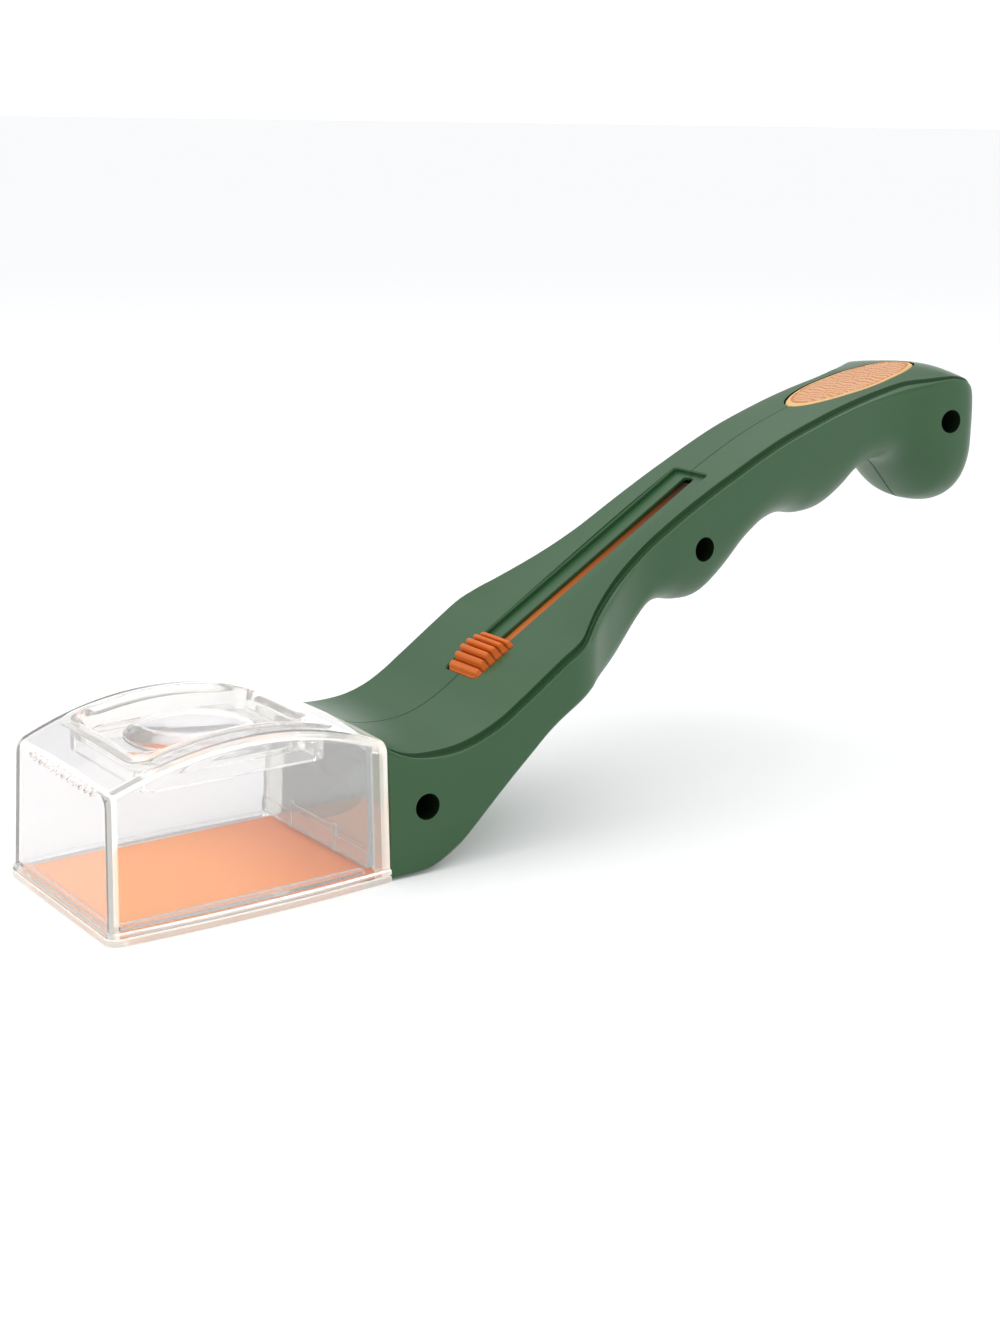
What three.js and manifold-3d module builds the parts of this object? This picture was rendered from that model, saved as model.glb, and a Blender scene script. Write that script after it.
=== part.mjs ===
// Bug catcher: a clear capsule with a magnifying lens, closed from below by a thin sliding door,
// on the front of a long two-part handle. A ribbed thumb slide on the handle works the door.
// Units are millimetres, +Z is up. Inside the group called frame, x runs from the capsule's front
// wall (0) to the end of the handle, y runs across, and z starts at the rim that the capsule
// rests on.

import * as THREE from 'three';
import { mergeVertices } from 'three/addons/utils/BufferGeometryUtils.js';
import Module from 'manifold-3d';

const wasm = await Module();
wasm.setup();

// Overall sizes
const OVERALL_LENGTH = 300;
const HANDLE_TOP = 115.5;
const PALM_HALF_WIDTH = 30;

// Clearances
const FIT = 0.3;
const SEAM = 0.2;
const OVERRUN = 5;

// Capsule
const CAPSULE_LENGTH = 77;
const CAPSULE_WIDTH = 57.4;
const CAPSULE_SIDE_BOW = 1.6;
const CAPSULE_CORNER_RADIUS = 2.4;
const CAPSULE_WALL_HEIGHT = 36.4;
const CAPSULE_ROOF_RISE = 8.2;
const CAPSULE_ROOF_CROWN = 0.6;
const CAPSULE_ROOF_FILLET = 3;
const CAPSULE_INNER_RADIUS = 0.75;
const CROWN_HALFWAY_SHARE = 0.75;
const CAPSULE_WALL = 2.2;
const CAPSULE_SIDE_LEAN = 1.5;
const CAPSULE_FRONT_LEAN = 1.4;
const COVER_RIM_LIP = 0.6;
const COVER_RIM_HEIGHT = 1.5;
const REAR_COLLAR_LENGTH = 3.8;
const REAR_COLLAR_THICKNESS = 3.6;
const SPIGOT_LENGTH = 3.5;
const SPIGOT_WALL = 1.6;

// Vent holes along the top of the front wall
const VENT_DIAMETER = 1.2;
const VENT_PITCH = 3.2;
const VENT_COUNT = 12;
const VENT_DROP = 2;

// Base frame, door and the rails that hold the door's edges
const BASE_THICKNESS = 1.6;
const BASE_LIP = 0.8;
const BASE_BAR = 5;
const BASE_OPENING_RADIUS = 3;
const DOOR_THICKNESS = 0.6;
const DOOR_EDGE_PLAY = 0.6;
const DOOR_LIP_LENGTH = 3;
const DOOR_LIP_THICKNESS = 1;
const RAIL_HEIGHT = 1;
const RAIL_OVERLAP = 1.1;
const RAIL_FRONT_WIDTH = 1.6;

// Back plate of the capsule, with a stepped sill along its lower edge
const BACK_PLATE_THICKNESS = 1.5;
const BACK_PLATE_SETBACK = 4.1;
const SILL_THICKNESS = 0.6;
const SILL_HEIGHT = 6.4;
const SILL_SIDE_HEIGHT = 4;
const SILL_HALF_WIDTH = 11.4;
const SILL_POST_WIDTH = 1;
const SILL_POST_RISE = 0.8;
const SILL_POST_REACH = 0.3;
const CATCH_LENGTH = 1.2;
const CATCH_HEIGHT = 3.4;
const CATCH_REACH = 1.2;
const CATCH_LEVEL = 20.5;

// Lens frame let into the roof: a low rim on the roof, a well down to the lens, a skirt below it
const WINDOW_LENGTH = 44.4;
const WINDOW_FORWARD_OFFSET = 1.5;
const WINDOW_HALF_WIDTH = 18.4;
const WINDOW_RADIUS = 8;
const FRAME_WALL = 2;
const FRAME_REAR_WALL = 4.6;
const FRAME_CORNER_RADIUS = 3.6;
const FRAME_REACH_DOWN = 3.6;
const RIM_WIDTH = 2.6;
const RIM_RISE = 0.7;
const RIM_FLARE = 1.4;
const RIM_FLARE_DEPTH = 2.2;
const LENS_ABOVE_WALL = 2.8;
const LENS_PLATE_THICKNESS = 1.8;
const LENS_SEAT_WIDTH = 0.9;
const LENS_SEAT_THICKNESS = 1.2;
const LENS_DIAMETER = 34.6;
const LENS_BULGE = 3.8;

// Handle shells
const SHELL_WALL = 2;
const CREASE_STEP = 0.8;
const LEDGE_WIDTH = 2;
const LEDGE_DROP = 0.5;
const LEDGE_FOOT_SHARE = 0.25;
const DISH_HALFWAY_SHARE = 0.25;
const SIDE_FULLNESS_SHARE = 0.9;
const DOOR_CHANNEL_LENGTH = 12;
const DOOR_CHANNEL_FLOOR = 1.4;
const DOOR_CHANNEL_ROOF = 4.2;

// Slot and thumb slide
const SLOT_END_SHARES = [0.1819, 0.5415];
const SLOT_WIDTH = 14.4;
const SLOT_CORNER_RADIUS = 1.2;
const SLOT_DEPTH = 1.4;
const SLOT_FLOOR = 1;
const SLOT_BED_BORDER = 2;
const SLIT_WIDTH = 4.2;
const SLIT_END_MARGIN = 1.5;
const SLIDE_LENGTH = 15.2;
const SLIDE_RISE = 3.2;
const SLIDE_CROWN_SHARE = 0.56;
const SLIDE_NOSE_DROP = 2.9;
const SLIDE_RIB_SHARES = [0.12, 0.3, 0.55, 0.82, 0.97];
const SLIDE_SIDE_SLOPE = 0.4;
const SLIDE_RIB_COUNT = 6;
const SLIDE_RIB_DEPTH = 0.9;
const SLIDE_REAR_FLANK_SHARE = 0.25;
const SLIDE_FRONT_FLANK_SHARE = 0.33;
const SLIDE_STEM_LENGTH = 8;
const CLIP_LENGTH = 12;
const CLIP_WIDTH = 11;
const CLIP_THICKNESS = 1.2;

// Sheet behind the door, which bends up through the neck and runs under the slot
const STRIP_HALF_WIDTH = 9;
const STRIP_EDGE_PLAY = 1.9;
const STRIP_TAPER_LENGTH = 14;
const STRIP_LEVEL_RUN = 6;
const STRIP_TAIL_MARGIN = 2.5;
const STRIP_BEND_SHARES = [0.2, 0.36];

// Thumb pad
const PAD_LENGTH = 48.7;
const PAD_REAR_MARGIN = 15.9;
const PAD_HALF_WIDTH = 10;
const PAD_THICKNESS = 1.3;
const PAD_PROUD = 0.3;
const PAD_BED = 1.4;
const PAD_BED_BORDER = 1.6;
const PAD_REACH_DOWN = 17;

// Screws and their bosses
const SCREW_RECESS_DIAMETER = 7;
const SCREW_HEAD_DIAMETER = 5.6;
const SCREW_HEAD_HEIGHT = 2.2;
const SCREW_SHANK_DIAMETER = 2.6;
const SCREW_SHANK_LENGTH = 17;
const SCREW_SEAT_Y = -7;
const SCREW_CROSS_WIDTH = 0.9;
const SCREW_CROSS_LENGTH = 3.2;
const SCREW_CROSS_DEPTH = 1.1;
const BOSS_WALL = 1.7;
const BOSS_POST_DIAMETER = 7;
const SCREW_FRONT_MARGIN = 10.7;
const SCREW_REAR_MARGIN = 18.8;
const SCREW_MIDDLE_SHARE = 0.5038;
const SCREW_HEIGHT_SHARES = { front: 0.544, middle: 0.543, rear: 0.625 };

// Ribs across the inside of each shell
const RIB_THICKNESS = 1.5;
const RIB_PLACE_SHARES = [0.2816, 0.6138, 0.7575];

// Mesh fineness
const MESH_TOLERANCE = 0.01;
const ARC_STEPS = 12;
const FILLET_STEPS = 4;
const CAPSULE_STATIONS = 10;
const STATION_PITCH = 5.4;
const END_STATION_SHARE = 0.3;
const END_STATION_PITCH = 0.9;
const SIDE_STEPS = 4;
const BELLY_STEPS = 7;

// Handle outline. Each table gives the place along the handle as a share of its length, then
// the value there as a share of the size that it follows.
const HANDLE_REAR_TRIM = 5.5;

const topShares = [
  [0, 0.31342], [0.0166, 0.2987], [0.0391, 0.28831], [0.0674, 0.28312], [0.0956, 0.28571],
  [0.1244, 0.30043], [0.1531, 0.32727], [0.1819, 0.36277], [0.2142, 0.4], [0.2501, 0.44156],
  [0.286, 0.48312], [0.322, 0.52468], [0.3579, 0.56623], [0.3969, 0.61126], [0.4356, 0.65628],
  [0.476, 0.70303], [0.515, 0.74719], [0.5415, 0.77749], [0.5891, 0.82511], [0.6408, 0.87013],
  [0.7099, 0.91602], [0.762, 0.94372], [0.8172, 0.96623], [0.8563, 0.98268], [0.8922, 0.99481],
  [0.9192, 1], [0.9461, 0.99827], [0.9641, 0.98701], [0.9775, 0.9645], [0.991, 0.91775], [1, 0.85714],
];
const bottomShares = [
  [0, 0], [0.0391, 0.0004], [0.057, 0.0026], [0.075, 0.0147], [0.0992, 0.0407], [0.1316, 0.0952],
  [0.163, 0.1498], [0.1917, 0.1974], [0.2209, 0.2459], [0.2519, 0.2823], [0.2973, 0.3169],
  [0.3264, 0.3307], [0.3489, 0.3481], [0.3714, 0.3749], [0.3938, 0.4121], [0.4145, 0.4511],
  [0.4297, 0.4701], [0.4459, 0.4779], [0.4679, 0.4779], [0.4939, 0.4693], [0.52, 0.4727],
  [0.5496, 0.5143], [0.5784, 0.5723], [0.5959, 0.6009], [0.6147, 0.626], [0.634, 0.6416],
  [0.6507, 0.6494], [0.6677, 0.6519], [0.6848, 0.6494], [0.7023, 0.6442], [0.7301, 0.6511],
  [0.7575, 0.6823], [0.7773, 0.7169], [0.7943, 0.7377], [0.8092, 0.7506], [0.8339, 0.7619],
  [0.8518, 0.7593], [0.8671, 0.7437], [0.8877, 0.7039], [0.9048, 0.6693], [0.9187, 0.6459],
  [0.9371, 0.6346], [0.9551, 0.6329], [0.9731, 0.6459], [0.9865, 0.6823], [0.9955, 0.7446], [1, 0.8225],
];
const bandShares = [
  [0, 0.8533], [0.0121, 0.8933], [0.0301, 0.91], [0.066, 0.9133], [0.1244, 0.9233], [0.1648, 0.94],
  [0.2411, 0.9433], [0.2681, 0.94], [0.286, 0.8667], [0.304, 0.7767], [0.322, 0.7033], [0.3399, 0.64],
  [0.3579, 0.5867], [0.3758, 0.5467], [0.3938, 0.5167], [0.4163, 0.49], [0.4522, 0.4767],
  [0.5061, 0.47], [0.5689, 0.47], [0.6767, 0.4667], [0.7934, 0.4633], [0.8249, 0.4733],
  [0.8473, 0.4967], [0.8653, 0.5367], [0.8833, 0.5967], [0.9012, 0.6567], [0.9192, 0.69],
  [0.9371, 0.6933], [0.9506, 0.6733], [0.9618, 0.63], [0.9731, 0.5533], [0.982, 0.4533],
  [0.991, 0.3133], [0.9964, 0.2], [1, 0.1],
];
const sideShares = [
  [0, 0.9533], [0.066, 0.98], [0.1379, 1], [0.2277, 1.0133], [0.2636, 1.01], [0.286, 0.9633],
  [0.304, 0.88], [0.322, 0.8], [0.3399, 0.7333], [0.3579, 0.6733], [0.3758, 0.6233], [0.3983, 0.58],
  [0.4252, 0.56], [0.4612, 0.56], [0.5285, 0.55], [0.6183, 0.5467], [0.7126, 0.5433], [0.7845, 0.54],
  [0.8204, 0.5567], [0.8473, 0.59], [0.8653, 0.6267], [0.8877, 0.68], [0.9102, 0.7167],
  [0.9282, 0.7367], [0.9461, 0.7333], [0.9573, 0.7033], [0.9663, 0.6567], [0.9753, 0.5867],
  [0.982, 0.51], [0.9888, 0.4133], [0.9946, 0.2933], [1, 0.1333],
];
const sideHeightShares = [
  [0, 0.08], [0.066, 0.14], [0.1513, 0.26], [0.2636, 0.36], [0.3714, 0.45], [0.4499, 0.5], [1, 0.5],
];
const bellyExponents = [
  [0, 11], [0.0391, 9], [0.066, 6], [0.0974, 4.5], [0.1513, 3.6], [0.2187, 3.1], [0.2681, 2.8],
  [0.3175, 2.6], [0.3534, 2.5], [0.3983, 2.2], [0.4477, 2.3], [1, 2.2],
];
const creaseShares = [
  [0, 0.25], [0.0795, 1], [0.7598, 1], [0.8698, 0.7], [0.9371, 0.45], [0.9641, 0.25], [1, 0.1],
];
const bandDropShares = [
  [0, 0.0433], [0.0301, 0.04], [0.057, 0.0233], [0.0885, 0.01], [0.1244, 0.0033], [0.1828, 0.0033],
  [0.2142, -0.0133], [0.2411, -0.0267], [0.2681, -0.0333], [0.295, -0.0567], [0.3399, -0.065],
  [0.3938, -0.06], [0.4342, -0.0533], [0.4746, -0.04], [0.515, -0.02], [0.5465, 0.0033], [0.6048, 0.02],
  [0.6767, 0.0283], [0.753, 0.0267], [0.8024, 0.02], [0.8473, 0.0217], [0.8653, 0.0317],
  [0.8833, 0.0433], [0.9192, 0.0567], [0.9416, 0.09], [0.9551, 0.13], [0.9686, 0.16], [0.9865, 0.15],
  [1, 0.0833],
];

// Sizes that follow from the ones above
const handleFront = CAPSULE_LENGTH + FIT;
const handleLength = OVERALL_LENGTH - handleFront;
const alongHandle = (share) => handleFront + handleLength * share;
const doorHalfWidth = CAPSULE_WIDTH / 2 - CAPSULE_WALL - DOOR_EDGE_PLAY;
const railHalfGap = doorHalfWidth - RAIL_OVERLAP;
const stripFrontHalfWidth = doorHalfWidth - STRIP_EDGE_PLAY;
const windowMiddle = CAPSULE_LENGTH / 2 - WINDOW_FORWARD_OFFSET;
const windowFront = windowMiddle - WINDOW_LENGTH / 2;
const windowRear = windowMiddle + WINDOW_LENGTH / 2;
const lensTop = CAPSULE_WALL_HEIGHT + LENS_ABOVE_WALL;
const frameBottom = CAPSULE_WALL_HEIGHT - FRAME_REACH_DOWN;
const padRear = OVERALL_LENGTH - PAD_REAR_MARGIN;
const padFront = padRear - PAD_LENGTH;

// Smooth value of a table at a place t, with the slope at each point taken from its neighbours
function valueAt(table, t) {
  const last = table.length - 1;
  if (t <= table[0][0]) {
    return table[0][1];
  }
  if (t >= table[last][0]) {
    return table[last][1];
  }
  let i = 0;
  while (table[i + 1][0] < t) {
    i += 1;
  }
  const slopeAt = (k) => {
    const a = table[Math.max(k - 1, 0)];
    const b = table[Math.min(k + 1, last)];
    return (b[1] - a[1]) / (b[0] - a[0]);
  };
  const [t0, v0] = table[i];
  const [t1, v1] = table[i + 1];
  const span = t1 - t0;
  const s = (t - t0) / span;
  const s2 = s * s;
  const s3 = s2 * s;
  const startPart = (2 * s3 - 3 * s2 + 1) * v0 + (s3 - 2 * s2 + s) * span * slopeAt(i);
  const endPart = (3 * s2 - 2 * s3) * v1 + (s3 - s2) * span * slopeAt(i + 1);
  return startPart + endPart;
}

// Closed solid of a geometry whose faces point out
function solidOf(geometry) {
  const bare = geometry.index ? geometry.toNonIndexed() : geometry.clone();
  bare.deleteAttribute('normal');
  bare.deleteAttribute('uv');
  const merged = mergeVertices(bare);
  return new wasm.Manifold(new wasm.Mesh({
    numProp: 3,
    vertProperties: new Float32Array(merged.attributes.position.array),
    triVerts: new Uint32Array(merged.index.array),
  }));
}

// Geometry of a solid, ready for a mesh, without edges shorter than the mesh tolerance
function geometryOf(solid) {
  const { vertProperties, triVerts, numProp } = solid.simplify(MESH_TOLERANCE).getMesh();
  const geometry = new THREE.BufferGeometry();
  const positions = new Float32Array((vertProperties.length / numProp) * 3);
  for (let i = 0; i < positions.length / 3; i += 1) {
    positions.set(vertProperties.subarray(i * numProp, i * numProp + 3), i * 3);
  }
  geometry.setAttribute('position', new THREE.BufferAttribute(positions, 3));
  geometry.setIndex(new THREE.BufferAttribute(new Uint32Array(triVerts), 1));
  geometry.computeVertexNormals();
  return geometry;
}

// Box between two corners
function box(low, high) {
  const size = high.map((value, axis) => value - low[axis]);
  const geometry = new THREE.BoxGeometry(...size);
  geometry.translate(...low.map((value, axis) => value + size[axis] / 2));
  return solidOf(geometry);
}

// Cylinder along Y from one y to another
function rodAcross(diameter, x, z, fromY, toY) {
  const geometry = new THREE.CylinderGeometry(diameter / 2, diameter / 2, toY - fromY, ARC_STEPS * 2);
  geometry.translate(x, (fromY + toY) / 2, z);
  return solidOf(geometry);
}

// Rounded rectangle in the XY plane
function roundedOutline(fromX, toX, halfWidth, radius) {
  const shape = new THREE.Shape();
  const quarter = Math.PI / 2;
  shape.absarc(toX - radius, halfWidth - radius, radius, 0, quarter);
  shape.absarc(fromX + radius, halfWidth - radius, radius, quarter, 2 * quarter);
  shape.absarc(fromX + radius, radius - halfWidth, radius, 2 * quarter, 3 * quarter);
  shape.absarc(toX - radius, radius - halfWidth, radius, 3 * quarter, 4 * quarter);
  shape.closePath();
  return shape;
}

// Upright prism of an outline between two heights
function prism(shape, fromZ, toZ, curveSegments = FILLET_STEPS) {
  const geometry = new THREE.ExtrudeGeometry(shape, {
    depth: toZ - fromZ,
    bevelEnabled: false,
    curveSegments,
  });
  geometry.translate(0, 0, fromZ);
  return solidOf(geometry);
}

// Closed solid through rings of [x, y, z] points, each ring with the same number of points and
// turning the same way seen from its end
function loft(rings) {
  const count = rings[0].length;
  const positions = rings.flat(2);
  const indices = [];
  for (let r = 0; r + 1 < rings.length; r += 1) {
    for (let i = 0; i < count; i += 1) {
      const a = r * count + i;
      const b = r * count + ((i + 1) % count);
      indices.push(a, b, b + count, a, b + count, a + count);
    }
  }
  const cap = (ring, start, flip) => {
    const centre = positions.length / 3;
    const mean = [0, 1, 2].map((axis) => ring.reduce((sum, point) => sum + point[axis], 0) / count);
    positions.push(...mean);
    for (let i = 0; i < count; i += 1) {
      const a = start + i;
      const b = start + ((i + 1) % count);
      indices.push(...(flip ? [centre, b, a] : [centre, a, b]));
    }
  };
  cap(rings[0], 0, true);
  cap(rings[rings.length - 1], (rings.length - 1) * count, false);
  const geometry = new THREE.BufferGeometry();
  geometry.setAttribute('position', new THREE.BufferAttribute(new Float32Array(positions), 3));
  geometry.setIndex(indices);
  return solidOf(geometry);
}

// Whole ring at a place x from its half with y of 0 or more, listed from the top to the bottom
function wholeRing(x, half) {
  const mirrored = half.slice(1, -1).map(([y, z]) => [-y, z]);
  const around = [...half, ...mirrored.reverse()];
  return around.map(([y, z]) => [x, y, z]).reverse();
}

// Capsule form. An inset of a wall's thickness gives the space inside.
function roofEdgeHeight(x) {
  const across = (2 * x) / CAPSULE_LENGTH - 1;
  return CAPSULE_WALL_HEIGHT + CAPSULE_ROOF_RISE * (1 - across * across);
}

function capsuleHalfWidth(x) {
  const across = (2 * x) / CAPSULE_LENGTH - 1;
  return CAPSULE_WIDTH / 2 + CAPSULE_SIDE_BOW * (1 - across * across);
}

function capsuleHalfRing(x, inset, floorZ) {
  const front = x - inset;
  const radius = Math.max(CAPSULE_CORNER_RADIUS - inset, CAPSULE_INNER_RADIUS);
  const intoCorner = Math.max(radius - front, 0);
  const cornerCut = radius - Math.sqrt(Math.max(radius * radius - intoCorner * intoCorner, 0));
  const base = capsuleHalfWidth(x) - inset - cornerCut;
  const edge = roofEdgeHeight(x) - inset;
  const top = base - CAPSULE_SIDE_LEAN;
  const fillet = Math.max(CAPSULE_ROOF_FILLET - inset, CAPSULE_INNER_RADIUS);
  const flat = top - fillet;
  const half = [[0, edge + CAPSULE_ROOF_CROWN]];
  half.push([flat / 2, edge + CAPSULE_ROOF_CROWN * CROWN_HALFWAY_SHARE]);
  for (let i = 0; i <= FILLET_STEPS; i += 1) {
    const turn = (Math.PI / 2) * (i / FILLET_STEPS);
    half.push([flat + fillet * Math.sin(turn), edge - fillet * (1 - Math.cos(turn))]);
  }
  half.push([base, 0]);
  half.push([base, floorZ]);
  half.push([0, floorZ]);
  return half;
}

function capsuleForm(inset, floorZ, toX) {
  const places = [];
  const cornerReach = CAPSULE_CORNER_RADIUS;
  for (let i = 0; i <= FILLET_STEPS; i += 1) {
    places.push(inset + cornerReach * (1 - Math.cos((Math.PI / 2) * (i / FILLET_STEPS))));
  }
  for (let i = 1; i <= CAPSULE_STATIONS; i += 1) {
    const start = inset + cornerReach;
    places.push(start + ((CAPSULE_LENGTH - start) * i) / CAPSULE_STATIONS);
  }
  if (toX > CAPSULE_LENGTH) {
    places.push(toX);
  }
  const rings = places.map((x) => {
    const ring = wholeRing(x, capsuleHalfRing(Math.min(x, CAPSULE_LENGTH), inset, floorZ));
    return ring.map(([px, y, z]) => {
      const lean = CAPSULE_FRONT_LEAN * (z / CAPSULE_WALL_HEIGHT) * (1 - px / CAPSULE_LENGTH);
      return [px + Math.max(lean, 0), y, z];
    });
  });
  return loft(rings);
}

// Handle form. A positive inset shrinks each section towards its middle.
function handleSection(x) {
  const t = (x - handleFront) / handleLength;
  const top = HANDLE_TOP * valueAt(topShares, t);
  const bottom = HANDLE_TOP * valueAt(bottomShares, t);
  const band = PALM_HALF_WIDTH * valueAt(bandShares, t);
  return {
    top,
    bottom,
    band,
    side: PALM_HALF_WIDTH * valueAt(sideShares, t),
    sideZ: bottom + (top - bottom) * valueAt(sideHeightShares, t),
    exponent: valueAt(bellyExponents, t),
    crease: valueAt(creaseShares, t),
    drop: PALM_HALF_WIDTH * valueAt(bandDropShares, t),
  };
}

function handleHalfRing(x) {
  const s = handleSection(x);
  const bandZ = s.top - s.drop;
  const step = CREASE_STEP * s.crease;
  const ledge = LEDGE_WIDTH * s.crease;
  const ledgeY = s.band + ledge;
  const ledgeZ = bandZ - step - LEDGE_DROP * s.crease;
  const half = [[0, s.top]];
  half.push([s.band / 2, s.top - s.drop * DISH_HALFWAY_SHARE]);
  half.push([s.band, bandZ]);
  half.push([s.band + ledge * LEDGE_FOOT_SHARE, bandZ - step]);
  half.push([ledgeY, ledgeZ]);
  for (let i = 1; i <= SIDE_STEPS; i += 1) {
    const turn = (Math.PI / 2) * (i / SIDE_STEPS);
    const y = ledgeY + (s.side - ledgeY) * Math.sin(turn) ** SIDE_FULLNESS_SHARE;
    const z = s.sideZ + (ledgeZ - s.sideZ) * Math.cos(turn);
    half.push([y, z]);
  }
  for (let i = 1; i <= BELLY_STEPS; i += 1) {
    const turn = (Math.PI / 2) * (i / BELLY_STEPS);
    const power = 2 / s.exponent;
    const y = i === BELLY_STEPS ? 0 : s.side * Math.cos(turn) ** power;
    half.push([y, s.sideZ - (s.sideZ - s.bottom) * Math.sin(turn) ** power]);
  }
  return half;
}

const handleStations = [handleFront];
for (let x = handleFront; x < OVERALL_LENGTH;) {
  const nearEnd = (OVERALL_LENGTH - x) * END_STATION_SHARE;
  x = Math.min(x + Math.max(Math.min(STATION_PITCH, nearEnd), END_STATION_PITCH), OVERALL_LENGTH);
  handleStations.push(x);
}

function handleForm(inset, fromX, toX, skip = 1) {
  const between = handleStations.filter((x, i) => x > fromX && x < toX && i % skip === 0);
  const rings = [fromX, ...between, toX].map((x) => {
    const within = Math.min(Math.max(x, handleFront), OVERALL_LENGTH);
    const s = handleSection(within);
    const middleZ = (s.top + s.bottom) / 2;
    const shrinkY = 1 - inset / s.side;
    const shrinkZ = 1 - (2 * inset) / (s.top - s.bottom);
    const half = handleHalfRing(within);
    return wholeRing(x, half.map(([y, z]) => [y * shrinkY, middleZ + (z - middleZ) * shrinkZ]));
  });
  return loft(rings);
}

// Screws: places along the handle, each at a share of the handle's height there
const screwPlaces = {
  front: handleFront + SCREW_FRONT_MARGIN,
  middle: alongHandle(SCREW_MIDDLE_SHARE),
  rear: OVERALL_LENGTH - SCREW_REAR_MARGIN,
};
for (const [place, x] of Object.entries(screwPlaces)) {
  const { top, bottom } = handleSection(x);
  screwPlaces[place] = { x, z: bottom + (top - bottom) * SCREW_HEIGHT_SHARES[place] };
}

// The slide's own frame: x along the slot from its front end, z out of the handle's top
const [slotFrontPoint, slotRearPoint] = SLOT_END_SHARES.map((share) => {
  const x = alongHandle(share);
  return new THREE.Vector2(x, handleSection(x).top);
});
const slotRun = slotRearPoint.clone().sub(slotFrontPoint);
const SLOT_LENGTH = slotRun.length();
const slotAngle = slotRun.angle();
const slotMatrix = new THREE.Matrix4()
  .makeTranslation(slotFrontPoint.x, 0, slotFrontPoint.y)
  .multiply(new THREE.Matrix4().makeRotationY(-slotAngle));

function inSlotFrame(solid) {
  return solid.transform(slotMatrix.toArray());
}

function slotBlock(fromX, toX, halfWidth, radius, fromZ, toZ) {
  return inSlotFrame(prism(roundedOutline(fromX, toX, halfWidth, radius), fromZ, toZ));
}

// Heights below the slot's own line
const slotFloorTop = -SLOT_DEPTH;
const slotFloorUnder = slotFloorTop - SLOT_FLOOR;
const stripTop = slotFloorUnder - FIT;
const stripUnder = stripTop - DOOR_THICKNESS;
const clipTop = stripUnder - FIT;
const ribClearance = stripTop - clipTop + CLIP_THICKNESS + FIT;
const stripJoin = FIT + (SLIDE_LENGTH - CLIP_LENGTH) / 2;

// Materials
function plastic(name, color, roughness, opacity = 1) {
  return new THREE.MeshStandardMaterial({
    name,
    color,
    roughness,
    metalness: 0,
    opacity,
    transparent: opacity < 1,
  });
}

const clearPlastic = plastic('clear_plastic', 0xeef3f5, 0.06, 0.3);
const lensPlastic = plastic('lens_plastic', 0xf4f8fa, 0.03, 0.25);
const greenPlastic = plastic('green_plastic', 0x3c5a3e, 0.45);
const orangePlastic = plastic('orange_plastic', 0xe1733c, 0.42);
const sheetPlastic = plastic('orange_sheet', 0xf6905f, 0.38);
const padRubber = plastic('pad_rubber', 0xeb9a66, 0.6);
const screwSteel = new THREE.MeshStandardMaterial({
  name: 'screw_steel',
  color: 0x5c5f63,
  roughness: 0.35,
  metalness: 1,
});

const frame = new THREE.Group();
frame.position.x = (BASE_LIP - OVERALL_LENGTH) / 2;

function addPiece(name, solid, material) {
  const mesh = new THREE.Mesh(geometryOf(solid), material);
  mesh.name = name;
  frame.add(mesh);
  return mesh;
}

// Heights of the door's track
const doorUnder = BASE_THICKNESS + FIT;
const doorTop = doorUnder + DOOR_THICKNESS;
const lipTop = doorUnder + DOOR_LIP_THICKNESS;
const railUnder = lipTop + FIT;
const coverUnder = BASE_THICKNESS + SEAM;
const backPlateRear = CAPSULE_LENGTH - BACK_PLATE_SETBACK;
const backPlateFront = backPlateRear - BACK_PLATE_THICKNESS;
const backPlateUnder = railUnder + RAIL_HEIGHT + SEAM;
const halfCapsule = CAPSULE_WIDTH / 2 + CAPSULE_SIDE_BOW + OVERRUN;
const aboveRoof = CAPSULE_WALL_HEIGHT + CAPSULE_ROOF_RISE + OVERRUN;
const windowOutline = (grow) => roundedOutline(
  windowFront - grow,
  windowRear + grow,
  WINDOW_HALF_WIDTH + grow,
  WINDOW_RADIUS + grow,
);
const frameOutline = (grow) => roundedOutline(
  windowFront - FRAME_WALL - grow,
  windowRear + FRAME_REAR_WALL + grow,
  WINDOW_HALF_WIDTH + FRAME_WALL + grow,
  FRAME_CORNER_RADIUS + grow,
);

// Door channel through the foot of the handle, behind the capsule
const doorChannel = box(
  [CAPSULE_LENGTH - OVERRUN, -doorHalfWidth - FIT, DOOR_CHANNEL_FLOOR],
  [handleFront + DOOR_CHANNEL_LENGTH, doorHalfWidth + FIT, DOOR_CHANNEL_ROOF],
);

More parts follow.
